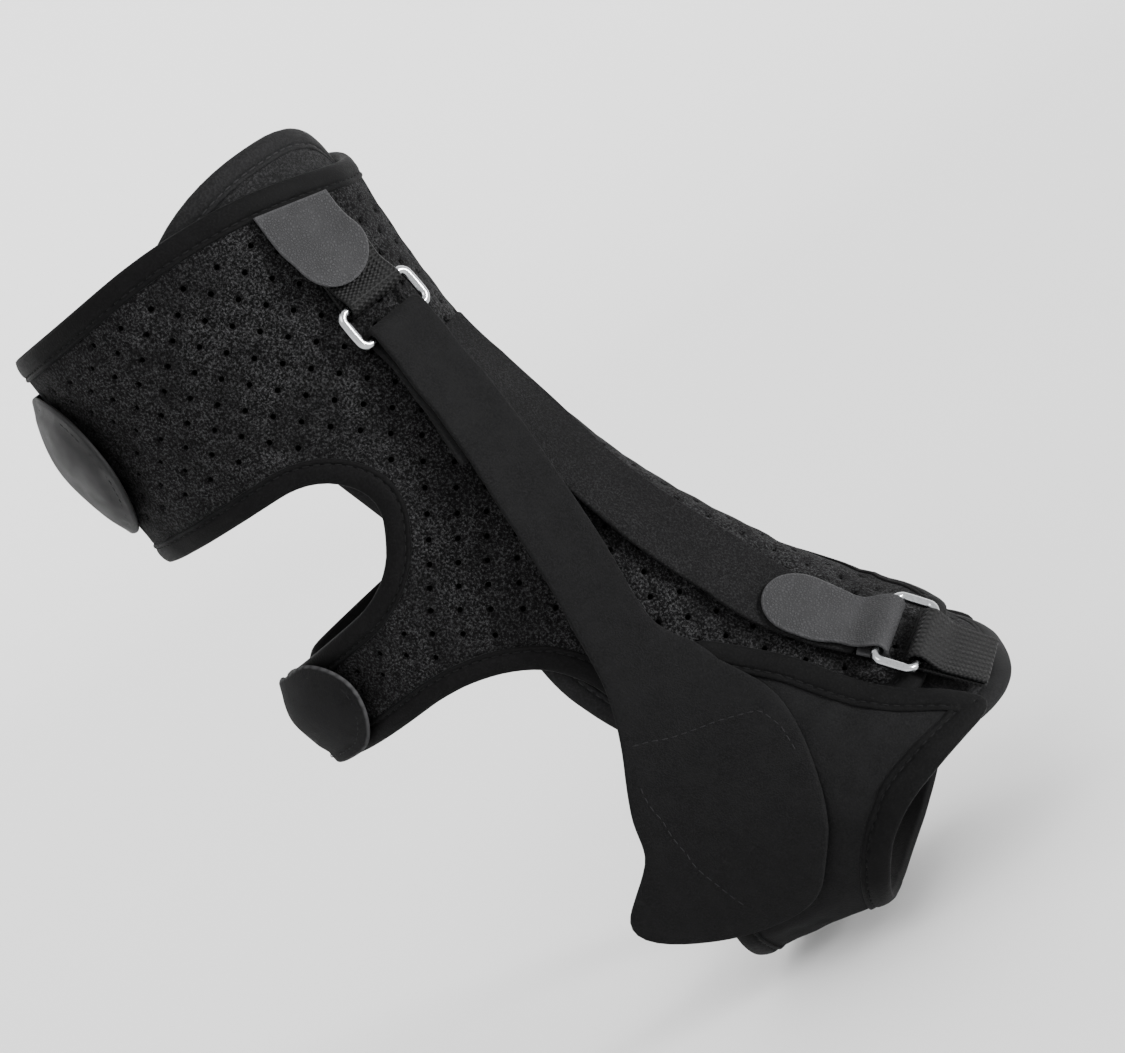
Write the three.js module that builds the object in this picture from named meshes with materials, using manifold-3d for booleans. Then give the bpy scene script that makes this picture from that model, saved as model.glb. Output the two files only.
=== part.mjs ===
// Night splint for a right foot: a soft brace that holds the foot pulled up towards the shin.
// Millimetres. The origin is the ankle's centre on the leg's axis, +X to the toes, +Y to the
// inner side of the leg, +Z up the leg.
//
// Every cloth piece is cut flat as a pattern and then laid on a last, the form of leg and foot.
// A place on the last has two coordinates: "along", the distance down the front line from the
// cuff's top edge, and "round", the angle from the front line, positive to the outer side.
// A third, "out", is the height over the last's surface.

import * as THREE from "three";
import { mergeVertices } from "three/addons/utils/BufferGeometryUtils.js";
import Module from "manifold-3d";

// Leg and foot that the splint closes round
const CUFF_TOP = 188;        // the cuff's top edge over the ankle's centre
const ANKLE_HEIGHT = 80;     // the ankle's centre over the sole
const SHIN_REACH = 66;       // the shin in front of the leg's axis
const CALF_REACH = 54;       // the calf behind it
const TOE_REACH = 169;       // the toe end in front of the leg's axis
const CALF_WIDTH = 93;
const FOOT_WIDTH = 96;
const RIDGE_SHIFT = 10;      // the instep's ridge lies to the inner side of the middle

// Cloth, tape and webbing
const GAP = 0.3;             // room between neighbouring pieces
const LAYER_GAP = 0.5;       // room between layers laid one on the other
const PAD_TOP_THICKNESS = 7;
const PAD_TOE_THICKNESS = 4;
const PAD_TAPE_SHARE = 0.8;  // the pad is pressed thinner under its tape
const SHELL_THICKNESS = 2.8;
const WRAP_THICKNESS = 2.3;
const TAPE_WIDTH = 8;
const TAPE_THICKNESS = 0.6;
const STRAP_THICKNESS = 2;
const WEB_THICKNESS = 1.4;
const TAB_THICKNESS = 1.8;
const SIDE_STRAP_WIDTH = 21;
const DORSAL_STRAP_WIDTH = 22;
const RETURN_LENGTH = 46;    // the side strap's end, folded back through its ring

// Wire rings
const WIRE = 3;
const RING_ROOM = 2;         // room in a ring beside its strap
const RING_LENGTH = 12;      // from bar to bar
const RING_CORNER = 2.8;

// Hook tabs
const CALF_TAB = { a: 0.13, r: 164, height: 50, reach: 74, crown: 6.5 };
const ANKLE_TAB = { a: 0.46, r: 147.5, height: 32, reach: 58.5, crown: 6 };
const UPPER_TAB = { width: 25, length: 30 };
const TOE_TAB_LENGTH = 38;
const UPPER_WEB_LENGTH = 18; // of webbing behind each ring
const TOE_WEB_LENGTH = 21;
const OVAL_TIP = 0.35;       // share of a hook tab's half width left at its oval end
const RING_TILT = 1.2;       // the upper ring's lower bar stands out further than its upper one
const LEAN = 30;             // how steeply webbing closes again behind a bar, in degrees
const FOLD_NECK = 10;        // from the lower bar to where the folded strap lies flat again

// Fineness of the model
const ALONG_STEPS = 26;
const ROUND_STEPS = 30;
const EDGE_STEP = 11;
const CURVE_STEPS = 4;
const TAB_CURVE_STEPS = 6;
const TURN_STEPS = 9;
const WIRE_SIDES = 8;
const RING_SIDES = 32;
const CORNER_SIDES = 4;      // the higher, the shorter the part of the torus that makes a corner
const SNAP = 0.3;            // shorter steps are left out; slopes are measured over it
const WELD = 1e-4;
const INSIDE = -1e-6;

// Heights of the layers over the last's surface
const SHELL_TAPE_IN = LAYER_GAP;
const SHELL_IN = SHELL_TAPE_IN + TAPE_THICKNESS;
const SHELL_TAPE_OUT = SHELL_IN + SHELL_THICKNESS + TAPE_THICKNESS;
const WRAP_TAPE_IN = SHELL_TAPE_OUT + LAYER_GAP;
const WRAP_IN = WRAP_TAPE_IN + TAPE_THICKNESS;
const WRAP_TAPE_OUT = WRAP_TAPE_IN + WRAP_THICKNESS + 2 * TAPE_THICKNESS;
const PADDLE_IN = WRAP_TAPE_OUT + LAYER_GAP;
const TAB_IN = SHELL_TAPE_OUT + LAYER_GAP;

// The last, section by section down the front line.
// fore: 0 the leg's axis, 1 the shin, 2 the toe end, -1 the calf's back.
// rise: 1 the cuff's top, 0 the ankle's centre, -1 the sole.
// calf, foot: shares of half the calf's and half the foot's width, added.
// ridge: share of the ridge's shift. square: how square the sole side is, 2 an ellipse.
const SECTIONS = {
  padTop: { front: [0.97, 1.19], back: [-1.0, 1.19], calf: 1.01, foot: 0, ridge: 0, square: 2 },
  cuffTop: { front: [1.0, 1.0], back: [-0.97, 1.0], calf: 1.0, foot: 0, ridge: 0, square: 2 },
  midCuff: { front: [1.015, 0.8], back: [-0.93, 0.8], calf: 0.97, foot: 0, ridge: 0, square: 2 },
  cuffFoot: { front: [1.06, 0.628], back: [-0.87, 0.596], calf: 0.925, foot: 0, ridge: 0, square: 2 },
  overAnkle: { front: [1.137, 0.5], back: [-0.69, 0.383], calf: 0.9, foot: 0, ridge: 0.2, square: 2 },
  ankle: { front: [1.277, 0.313], back: [-0.61, 0.165], calf: 0.5, foot: 0.38, ridge: 0.4, square: 2 },
  arch: { front: [1.403, 0.194], back: [-0.83, -0.32], calf: 0.1, foot: 0.79, ridge: 0.6, square: 2.1 },
  instep: { front: [1.519, 0.09], back: [-0.46, -0.925], calf: 0, foot: 0.917, ridge: 0.8, square: 2.3 },
  wrapBack: { front: [1.636, 0.003], back: [0.545, -1.0], calf: 0, foot: 0.948, ridge: 0.9, square: 2.5 },
  wrap: { front: [1.767, -0.188], back: [1.116, -1.0], calf: 0, foot: 0.979, ridge: 1, square: 2.5 },
  wrapFront: { front: [1.908, -0.403], back: [1.505, -0.99], calf: 0, foot: 1, ridge: 1, square: 2.5 },
  toe: { front: [2.0, -0.54], back: [1.69, -0.975], calf: 0, foot: 0.979, ridge: 1, square: 2.5 },
};

// Outlines are tables of corners. a: share of the front line. r: degrees round.
// bend: how far the corner's curve reaches along each side, in millimetres.
const PAD_CORNERS = [
  { a: -0.02, r: -25, bend: 13 },
  { a: -0.08, r: 2, bend: 18 },
  { a: -0.074, r: 54, bend: 20 },
  { a: 0.0, r: 88, bend: 18 },
  { a: 0.3, r: 72, bend: 30 },
  { a: 0.6, r: 71, bend: 20 },
  { a: 0.7, r: 66, bend: 20 },
  { a: 0.972, r: 52, bend: 13 },
  { a: 1.012, r: 18, bend: 14 },
  { a: 0.955, r: -29, bend: 13 },
  { a: 0.6, r: -34, bend: 30 },
  { a: 0.3, r: -32, bend: 30 },
];
const TOP_CORNERS = [
  { a: -0.016, r: -110, bend: 30 },
  { a: -0.042, r: -60, bend: 24 },
  { a: 0.0, r: -8, bend: 18 },
  { a: -0.045, r: 62, bend: 24 },
  { a: -0.016, r: 120, bend: 30 },
];
const SIDE_CORNERS = [
  { a: -0.014, r: 178, bend: 13 },
  { a: 0.268, r: 178, bend: 13 },
  { a: 0.27, r: 76, bend: 10 },
  { a: 0.322, r: 66, bend: 9 },
  { a: 0.4, r: 86, bend: 13 },
  { a: 0.4, r: 178, bend: 13 },
  { a: 0.515, r: 178, bend: 13 },
  { a: 0.53, r: 86, bend: 13 },
  { a: 0.58, r: 64, bend: 13 },
  { a: 0.7, r: 62, bend: 20 },
  { a: 0.91, r: 50, bend: 13 },
];
const WRAP_CORNERS = [
  { a: 0.645, r: 42, bend: 13 },
  { a: 0.66, r: 68, bend: 13 },
  { a: 0.72, r: 84, bend: 18 },
  { a: 0.785, r: 108, bend: 18 },
  { a: 0.81, r: 135, bend: 18 },
  { a: 0.83, r: 225, bend: 30 },
  { a: 0.76, r: 262, bend: 20 },
  { a: 0.66, r: 292, bend: 13 },
  { a: 0.65, r: 310, bend: 13 },
  { a: 0.95, r: 306, bend: 13 },
  { a: 0.93, r: 270, bend: 20 },
  { a: 0.915, r: 180, bend: 30 },
  { a: 0.92, r: 108, bend: 20 },
  { a: 0.922, r: 90, bend: 10 },
  { a: 0.962, r: 66, bend: 8 },
  { a: 0.997, r: 42, bend: 10 },
  { a: 0.935, r: 42, bend: 7 },
  { a: 0.87, r: 46, bend: 14 },
  { a: 0.74, r: 38, bend: 20 },
];
const PADDLE_CORNERS = [
  { a: 0.61, r: 45, bend: 3 },
  { a: 0.61, r: 59, bend: 3 },
  { a: 0.655, r: 66, bend: 10 },
  { a: 0.725, r: 89, bend: 6 },
  { a: 0.73, r: 108, bend: 9 },
  { a: 0.785, r: 119, bend: 11 },
  { a: 0.865, r: 116, bend: 12 },
  { a: 0.866, r: 86, bend: 12 },
  { a: 0.82, r: 63.5, bend: 10 },
  { a: 0.76, r: 48.5, bend: 10 },
  { a: 0.69, r: 42, bend: 9 },
];

// Middle lines of the straps and, for the side strap, its lift clear of the brace between ring and wrap
const SIDE_LINE = [
  { a: 0.12, r: 27.5, lift: 2.2 },
  { a: 0.22, r: 27.5, lift: 2.8 },
  { a: 0.29, r: 29.7, lift: 3.8 },
  { a: 0.36, r: 35, lift: 5.2 },
  { a: 0.43, r: 40.5, lift: 6 },
  { a: 0.51, r: 45.8, lift: 5 },
  { a: 0.57, r: 49.5, lift: 2.8 },
  { a: 0.62, r: 52, lift: 0.8 },
  { a: 0.65, r: 53.5, lift: 0 },
  { a: 0.7, r: 56, lift: 0 },
];
const DORSAL_LINE = [
  { a: 0.2, r: 11, lift: 0 },
  { a: 0.29, r: 8, lift: 0 },
  { a: 0.4, r: 15, lift: 0.6 },
  { a: 0.46, r: 19, lift: 1.2 },
  { a: 0.54, r: 21, lift: 1.2 },
  { a: 0.65, r: 21.5, lift: 0.6 },
  { a: 0.72, r: 23.5, lift: 0 },
  { a: 0.78, r: 25.5, lift: 0 },
  { a: 0.99, r: 25.5, lift: 0 },
];
const UPPER_BAR = { a: 0.138, r: 27.5 };
const TOE_BAR = { a: 0.85, r: 25.5 };
const UPPER_TAB_TOP = { a: 0.0, r: 31 };
const SIDE_STRAP_END = 0.672;
const DORSAL_STRAP_START = 0.22;
const MEDIAL_SPINE = -30;
const LATERAL_SPINE = 62;
const BACK_SEAM = 178;

// Surface of the last
const DEGREE = Math.PI / 180;

function fore(share) {
  if (share < 0) return share * CALF_REACH;
  if (share < 1) return share * SHIN_REACH;
  return SHIN_REACH + (share - 1) * (TOE_REACH - SHIN_REACH);
}

function rise(share) {
  return share * (share < 0 ? ANKLE_HEIGHT : CUFF_TOP);
}

const ROWS = Object.values(SECTIONS).map((s) => [
  fore(s.front[0]), rise(s.front[1]), fore(s.back[0]), rise(s.back[1]),
  s.calf * CALF_WIDTH / 2 + s.foot * FOOT_WIDTH / 2, s.ridge * RIDGE_SHIFT, s.square,
]);
const STATIONS = frontDistances(ROWS);
const SLOPES = rowSlopes(ROWS, STATIONS);
const FRONT_LENGTH = STATIONS[STATIONS.length - 1];
const MM_PER_DEGREE = (CALF_WIDTH + FOOT_WIDTH) / 4 * DEGREE;

function frontDistances(rows) {
  const out = [0];
  for (let i = 1; i < rows.length; i++) {
    out.push(out[i - 1] + Math.hypot(rows[i][0] - rows[i - 1][0], rows[i][1] - rows[i - 1][1]));
  }
  return out.map((d) => d - out[1]);
}

function rowSlopes(rows, at) {
  const step = (i) => at[i + 1] - at[i];
  const chord = (i, c) => (rows[i + 1][c] - rows[i][c]) / step(i);
  const last = rows.length - 1;
  return rows.map((row, i) => row.map((_, c) => {
    if (i === 0) return chord(0, c);
    if (i === last) return chord(last - 1, c);
    return (chord(i - 1, c) * step(i) + chord(i, c) * step(i - 1)) / (step(i) + step(i - 1));
  }));
}

function sectionAt(along) {
  let i = 0;
  while (i < STATIONS.length - 2 && along > STATIONS[i + 1]) i++;
  const h = STATIONS[i + 1] - STATIONS[i];
  const t = (along - STATIONS[i]) / h;
  const [t2, t3] = [t * t, t * t * t];
  return ROWS[i].map((value, c) => (2 * t3 - 3 * t2 + 1) * value + (t3 - 2 * t2 + t) * h * SLOPES[i][c]
    + (3 * t2 - 2 * t3) * ROWS[i + 1][c] + (t3 - t2) * h * SLOPES[i + 1][c]);
}

// A section is half an ellipse in front and a squarer superellipse behind
function lastPoint(along, round) {
  const [fx, fz, bx, bz, half, ridge, square] = sectionAt(along);
  const c = Math.cos(round * DEGREE);
  const s = Math.sin(round * DEGREE);
  const power = c < 0 ? 2 / square : 1;
  const k = Math.sign(c) * Math.abs(c) ** power;
  const y = -half * Math.sign(s) * Math.abs(s) ** power + ridge * Math.max(0, c) ** 2;
  return new THREE.Vector3((fx + bx) / 2 + (fx - bx) / 2 * k, y, (fz + bz) / 2 + (fz - bz) / 2 * k);
}

function lastNormal(along, round) {
  const down = lastPoint(along + SNAP, round).sub(lastPoint(along - SNAP, round));
  const across = lastPoint(along, round + SNAP).sub(lastPoint(along, round - SNAP));
  return across.cross(down).normalize();
}

// All layers follow one faceted last, so that they keep their gaps whatever their triangles are
const GRID_START = STATIONS[0];
const ALONG_STEP = (FRONT_LENGTH - GRID_START) / ALONG_STEPS;
const ROUND_STEP = 360 / ROUND_STEPS;
const GRID = Array.from({ length: ALONG_STEPS + 1 }, (_, i) =>
  Array.from({ length: ROUND_STEPS }, (_, j) => {
    const along = GRID_START + i * ALONG_STEP;
    return { point: lastPoint(along, j * ROUND_STEP), normal: lastNormal(along, j * ROUND_STEP) };
  }));

function place(along, round, out) {
  const v = (along - GRID_START) / ALONG_STEP;
  const i = Math.min(Math.max(Math.floor(v), 0), ALONG_STEPS - 1);
  const u = round / ROUND_STEP;
  const j = Math.floor(u);
  const point = new THREE.Vector3();
  for (const [di, dj] of [[0, 0], [0, 1], [1, 0], [1, 1]]) {
    const node = GRID[i + di][(((j + dj) % ROUND_STEPS) + ROUND_STEPS) % ROUND_STEPS];
    const weight = (di ? v - i : 1 - v + i) * (dj ? u - j : 1 - u + j);
    point.addScaledVector(node.point, weight).addScaledVector(node.normal, weight * out);
  }
  return point;
}

// Patterns: flat loops, x the distance round and y the distance along
function loopOf(corners) {
  const at = corners.map((c) => new THREE.Vector2(c.r * MM_PER_DEGREE, c.a * FRONT_LENGTH));
  const shape = new THREE.Shape();
  at.forEach((corner, i) => {
    const before = at[(i + at.length - 1) % at.length];
    const after = at[(i + 1) % at.length];
    const reach = (other) => Math.min(corners[i].bend / corner.distanceTo(other), 1 / 2);
    const start = corner.clone().lerp(before, reach(before));
    const end = corner.clone().lerp(after, reach(after));
    if (i === 0) shape.moveTo(start.x, start.y);
    else shape.lineTo(start.x, start.y);
    shape.quadraticCurveTo(corner.x, corner.y, end.x, end.y);
  });
  return evenSteps(shape.getPoints(CURVE_STEPS));
}

function evenSteps(points) {
  const out = [];
  points.forEach((point, i) => {
    const next = points[(i + 1) % points.length];
    const length = point.distanceTo(next);
    if (length < SNAP) return;
    const pieces = Math.ceil(length / EDGE_STEP);
    for (let k = 0; k < pieces; k++) out.push(point.clone().lerp(next, k / pieces));
  });
  return out;
}

// Moves a loop inwards by a true distance, measured on the last
function inset(loop, distance) {
  return loop.map((p, i) => {
    const before = loop[(i + loop.length - 1) % loop.length];
    const after = loop[(i + 1) % loop.length];
    const t = after.clone().sub(before).normalize();
    const here = (x, y) => lastPoint(y, x / MM_PER_DEGREE);
    const eu = here(p.x + SNAP, p.y).sub(here(p.x - SNAP, p.y)).divideScalar(2 * SNAP);
    const ev = here(p.x, p.y + SNAP).sub(here(p.x, p.y - SNAP)).divideScalar(2 * SNAP);
    const [uu, uv, vv] = [eu.dot(eu), eu.dot(ev), ev.dot(ev)];
    const n = new THREE.Vector2(-(uv * t.x + vv * t.y), uu * t.x + uv * t.y);
    const length = Math.sqrt(uu * n.x * n.x + 2 * uv * n.x * n.y + vv * n.y * n.y);
    return p.clone().addScaledVector(n, distance / length);
  });
}

// A tab with two oval ends, its long way round the last
function tabLoop(tab) {
  const r = tab.height / 2;
  const far = tab.reach / 2 - r;
  const shape = new THREE.Shape();
  shape.moveTo(far, -r);
  shape.absarc(far, 0, r, -Math.PI / 2, Math.PI / 2, false);
  shape.absarc(-far, 0, r, Math.PI / 2, Math.PI * 1.5, false);
  const centre = new THREE.Vector2(tab.r * MM_PER_DEGREE, tab.a * FRONT_LENGTH);
  return evenSteps(shape.getPoints(TAB_CURVE_STEPS).map((p) => p.add(centre)));
}

// Solids
function bodyOf(geometry) {
  const bare = geometry.clone();
  bare.deleteAttribute("normal");
  bare.deleteAttribute("uv");
  const merged = mergeVertices(bare, WELD);
  const position = merged.getAttribute("position");
  const points = Array.from({ length: position.count }, (_, i) =>
    [position.getX(i), position.getY(i), position.getZ(i)]);
  const index = Array.from(merged.getIndex().array);
  const faces = [];
  for (let i = 0; i < index.length; i += 3) faces.push(index.slice(i, i + 3));
  return { points, faces };
}

function geometryOf(body, toPlace) {
  const geometry = new THREE.BufferGeometry();
  const flat = body.points.flatMap((p) => toPlace(...p).toArray());
  geometry.setAttribute("position", new THREE.Float32BufferAttribute(flat, 3));
  geometry.setIndex(body.faces.flat());
  geometry.computeVertexNormals();
  return geometry;
}

// Cuts a flat polygon along a grid line into the polygons on each side of it
function splitPolygon(polygon, axis, value) {
  const other = axis === "x" ? "y" : "x";
  const nodes = [];
  polygon.forEach((p, i) => {
    const q = polygon[(i + 1) % polygon.length];
    nodes.push({ point: p, above: p[axis] >= value });
    if ((p[axis] >= value) === (q[axis] >= value)) return;
    const crossing = p.clone().lerp(q, (value - p[axis]) / (q[axis] - p[axis]));
    crossing[axis] = value;
    nodes.push({ point: crossing, crossing: true });
  });
  const crossings = nodes.filter((n) => n.crossing).sort((m, n) => m.point[other] - n.point[other]);
  if (!crossings.length) return [polygon];
  crossings.forEach((n, i) => {
    n.partner = crossings[i % 2 ? i - 1 : i + 1];
  });
  nodes.forEach((n, i) => {
    n.next = nodes[(i + 1) % nodes.length];
  });
  const out = [];
  const used = new Set();
  for (const start of crossings) {
    if (used.has(start)) continue;
    const part = [];
    let node = start;
    do {
      used.add(node);
      part.push(node.point);
      node = node.next;
      while (!node.crossing) {
        part.push(node.point);
        node = node.next;
      }
      part.push(node.point);
      node = node.partner;
    } while (node !== start);
    out.push(part);
  }
  return out;
}

// The flat pattern cut into cells by the last's grid
function cellsOf(loop) {
  const xs = loop.map((p) => p.x);
  const stride = ROUND_STEP * MM_PER_DEGREE;
  let parts = [loop];
  for (let k = Math.ceil(Math.min(...xs) / stride); k * stride < Math.max(...xs); k++) {
    parts = parts.flatMap((part) => splitPolygon(part, "x", k * stride));
  }
  for (let i = 1; i < ALONG_STEPS; i++) {
    parts = parts.flatMap((part) => splitPolygon(part, "y", GRID_START + i * ALONG_STEP));
  }
  return parts;
}

// Clips ears off a cell's polygon, the roundest first; points along a straight side are kept
function trianglesOf(polygon) {
  const twice = (a, b, c) => b.clone().sub(a).cross(c.clone().sub(a));
  const left = polygon.map((_, i) => i);
  const out = [];
  while (left.length > 3) {
    let best = { k: 0, shape: -Infinity };
    left.forEach((b, k) => {
      const ear = [left[(k + left.length - 1) % left.length], b, left[(k + 1) % left.length]];
      const [p, q, r] = ear.map((i) => polygon[i]);
      const area = twice(p, q, r);
      const blocked = left.some((i) => !ear.includes(i) && twice(p, q, polygon[i]) > INSIDE
        && twice(q, r, polygon[i]) > INSIDE && twice(r, p, polygon[i]) > INSIDE);
      const shape = blocked ? -1 : area / (p.distanceToSquared(r) + q.distanceToSquared(p));
      if (shape > best.shape) best = { k, shape, ear };
    });
    out.push(best.ear);
    left.splice(best.k, 1);
  }
  out.push(left);
  return out;
}

// A closed slab over flat polygons that share their edges: a lower and an upper face and the walls
function slabBody(polygons) {
  const points = [];
  const known = new Map();
  const edges = new Set();
  const faces = [];
  const indexOf = (p) => {
    const key = `${p.x.toFixed(3)} ${p.y.toFixed(3)}`;
    if (!known.has(key)) {
      known.set(key, points.length);
      points.push([p.x, p.y, 0], [p.x, p.y, 1]);
    }
    return known.get(key);
  };
  for (const polygon of polygons) {
    const ring = polygon.map(indexOf).filter((v, i, all) => v !== all[(i + 1) % all.length]);
    if (ring.length < 3) continue;
    const flat = ring.map((v) => new THREE.Vector2(points[v][0], points[v][1]));
    for (const [a, b, c] of trianglesOf(flat)) {
      faces.push([ring[a] + 1, ring[b] + 1, ring[c] + 1], [ring[a], ring[c], ring[b]]);
    }
    ring.forEach((v, i) => edges.add(`${v} ${ring[(i + 1) % ring.length]}`));
  }
  for (const edge of edges) {
    const [a, b] = edge.split(" ").map(Number);
    if (!edges.has(`${b} ${a}`)) faces.push([a, b, b + 1], [a, b + 1, a + 1]);
  }
  return { points, faces };
}

// A flat pattern laid on the last; low and high give its two faces' heights at a place
function laidGeometry(polygons, low, high) {
  return geometryOf(slabBody(polygons), (x, y, z) => {
    const round = x / MM_PER_DEGREE;
    return place(y, round, low(y, round) * (1 - z) + high(y, round) * z);
  });
}

function sheetGeometry(loop, low, high) {
  return laidGeometry(cellsOf(loop), low, high);
}

function bandGeometry(outer, inner, low, high) {
  const triangles = outer.flatMap((p, i) => {
    const j = (i + 1) % outer.length;
    return [[p, outer[j], inner[j]], [p, inner[j], inner[i]]];
  });
  return laidGeometry(triangles, low, high);
}

// Straight-line reading of a strap's table
function lineAt(table, along, column) {
  const share = along / FRONT_LENGTH;
  let i = 0;
  while (i < table.length - 2 && share > table[i + 1].a) i++;
  const [p, q] = [table[i], table[i + 1]];
  const t = THREE.MathUtils.clamp((share - p.a) / (q.a - p.a), 0, 1);
  return p[column] + (q[column] - p[column]) * t;
}

// The way across a strap, level from edge to edge and square to its middle line
function acrossAt(round, along) {
  const step = EDGE_STEP;
  const down = place(along + step, round(along + step), 0).sub(place(along - step, round(along - step), 0));
  const skin = place(along, round(along), 1).sub(place(along, round(along), 0));
  return down.cross(skin).normalize();
}

// A side profile [along, out] of a strap, carried across its width
function strapGeometry(profile, round, half) {
  const shape = new THREE.Shape(profile.map((p) => new THREE.Vector2(...p)));
  const body = bodyOf(new THREE.ExtrudeGeometry(shape, { depth: 2, bevelEnabled: false }));
  return geometryOf(body, (along, out, z) =>
    place(along, round(along), out).addScaledVector(acrossAt(round, along), (z - 1) * half(along)));
}

// A line [along, out] given a thickness
function thickLine(line, thickness) {
  const sideAt = (i, side) => {
    const [p, q] = [line[Math.max(i - 1, 0)], line[Math.min(i + 1, line.length - 1)]];
    const length = Math.hypot(q[0] - p[0], q[1] - p[1]);
    const k = side * thickness / 2 / length;
    return [line[i][0] - (q[1] - p[1]) * k, line[i][1] + (q[0] - p[0]) * k];
  };
  const there = line.map((_, i) => sideAt(i, -1));
  const back = line.map((_, i) => sideAt(i, 1)).reverse();
  return [...there, ...back];
}

// A turn round a bar at [along, out], from under it to over it and on by the lean
function turnRound(bar, radius, towards) {
  return Array.from({ length: TURN_STEPS + 1 }, (_, i) => {
    const angle = -Math.PI / 2 + (Math.PI + LEAN * DEGREE) * i / TURN_STEPS;
    return [bar[0] + towards * radius * Math.cos(angle), bar[1] + radius * Math.sin(angle)];
  });
}

// How far behind a bar the leaning layer comes down to a height over the lower layer
function neckReach(radius, height) {
  const drop = radius + radius * Math.cos(LEAN * DEGREE) - height;
  return radius * Math.sin(LEAN * DEGREE) + drop / Math.tan(LEAN * DEGREE);
}

function steps(from, to, size) {
  const count = Math.max(1, Math.round(Math.abs(to - from) / size));
  return Array.from({ length: count + 1 }, (_, i) => from + (to - from) * i / count);
}

// A wire ring with round corners: a torus whose circle is drawn out to a rounded rectangle
function ringGeometry(middle, sideways, lengthways, width, length) {
  const body = bodyOf(new THREE.TorusGeometry(length, WIRE / 2, WIRE_SIDES, RING_SIDES));
  const normal = sideways.clone().cross(lengthways);
  const [flatX, flatY] = [width / 2 - RING_CORNER, length / 2 - RING_CORNER];
  return geometryOf(body, (x, y, z) => {
    const angle = Math.atan2(y, x);
    const radial = Math.hypot(x, y) - length;
    const [c, s] = [Math.cos(angle), Math.sin(angle)];
    const centreX = Math.sign(c) * flatX * Math.min(1, Math.abs(c) * CORNER_SIDES) + RING_CORNER * c;
    const centreY = Math.sign(s) * flatY * Math.min(1, Math.abs(s) * CORNER_SIDES) + RING_CORNER * s;
    return middle.clone()
      .addScaledVector(sideways, centreX + radial * c)
      .addScaledVector(lengthways, centreY + radial * s)
      .addScaledVector(normal, z);
  });
}

const wasm = await Module();
wasm.setup();

function joined(first, second) {
  const solid = (geometry) => {
    const body = bodyOf(geometry);
    return new wasm.Manifold(new wasm.Mesh({
      numProp: 3,
      vertProperties: new Float32Array(body.points.flat()),
      triVerts: new Uint32Array(body.faces.flat()),
    }));
  };
  const mesh = solid(first).add(solid(second)).getMesh();
  const geometry = new THREE.BufferGeometry();
  geometry.setAttribute("position", new THREE.BufferAttribute(mesh.vertProperties, 3));
  geometry.setIndex(new THREE.BufferAttribute(mesh.triVerts, 1));
  geometry.computeVertexNormals();
  return geometry;
}

// Finishes
const FINISHES = {
  neoprene: { color: 0x151516, roughness: 0.85, metalness: 0 },
  tape: { color: 0x101011, roughness: 0.7, metalness: 0 },
  lining: { color: 0x1a1a1c, roughness: 0.9, metalness: 0 },
  velvet: { color: 0x1d1d1f, roughness: 0.95, metalness: 0 },
  webbing: { color: 0x0e0e0f, roughness: 0.8, metalness: 0 },
  hook: { color: 0x46474a, roughness: 0.8, metalness: 0 },
  wire: { color: 0xc8cacc, roughness: 0.18, metalness: 1 },
};

const splint = new THREE.Group();

function add(name, geometry, finish) {
  const mesh = new THREE.Mesh(geometry, new THREE.MeshStandardMaterial(FINISHES[finish]));
  mesh.name = name;
  splint.add(mesh);
}

// A sheet with a folded tape round its whole edge. The tape is one strip, as thick as the
// cloth with the tape over and under it, and the cloth fills the tape's inside.
function tapedSheet(name, tapeName, corners, heights, finish) {
  const edge = loopOf(corners);
  const inner = inset(edge, TAPE_WIDTH);
  add(tapeName, bandGeometry(edge, inner, heights.tapeLow, heights.tapeHigh), "tape");
  add(name, sheetGeometry(inset(edge, TAPE_WIDTH + LAYER_GAP), heights.low, heights.high), finish);
}

const level = (height) => () => height;

// Dorsal pad, thick on the shin and thin at the toes
function padThickness(along) {
  const t = THREE.MathUtils.clamp(along / FRONT_LENGTH, 0, 1);
  return PAD_TOP_THICKNESS + (PAD_TOE_THICKNESS - PAD_TOP_THICKNESS) * t;
}
tapedSheet("dorsal_pad", "pad_binding", PAD_CORNERS, {
  low: (along) => -GAP - padThickness(along),
  high: level(-GAP),
  tapeLow: (along) => -GAP - padThickness(along) * PAD_TAPE_SHARE,
  tapeHigh: level(-GAP),
}, "lining");

// Shell: cuff, spine and ankle strap cut in one, the inner side's wings a mirror of the outer's
function innerSide(corner) {
  const scale = (BACK_SEAM + MEDIAL_SPINE) / (BACK_SEAM - LATERAL_SPINE);
  return { ...corner, r: MEDIAL_SPINE - (corner.r - LATERAL_SPINE) * scale };
}
const SHELL_CORNERS = [...TOP_CORNERS, ...SIDE_CORNERS, ...SIDE_CORNERS.map(innerSide).reverse()];
tapedSheet("shell", "shell_binding", SHELL_CORNERS, {
  low: level(SHELL_IN),
  high: level(SHELL_IN + SHELL_THICKNESS),
  tapeLow: level(SHELL_TAPE_IN),
  tapeHigh: level(SHELL_TAPE_OUT),
}, "neoprene");

tapedSheet("foot_wrap", "wrap_binding", WRAP_CORNERS, {
  low: level(WRAP_IN),
  high: level(WRAP_IN + WRAP_THICKNESS),
  tapeLow: level(WRAP_TAPE_IN),
  tapeHigh: level(WRAP_TAPE_OUT),
}, "neoprene");

// Hook tabs that close the cuff and the ankle strap at the back
function backTab(name, tab) {
  const low = (along) => {
    const t = (along - tab.a * FRONT_LENGTH) / (tab.height / 2);
    return TAB_IN + tab.crown * Math.max(0, 1 - t * t);
  };
  add(name, sheetGeometry(tabLoop(tab), low, (along) => low(along) + TAB_THICKNESS), "webbing");
}
backTab("calf_tab", CALF_TAB);
backTab("ankle_tab", ANKLE_TAB);

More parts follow.
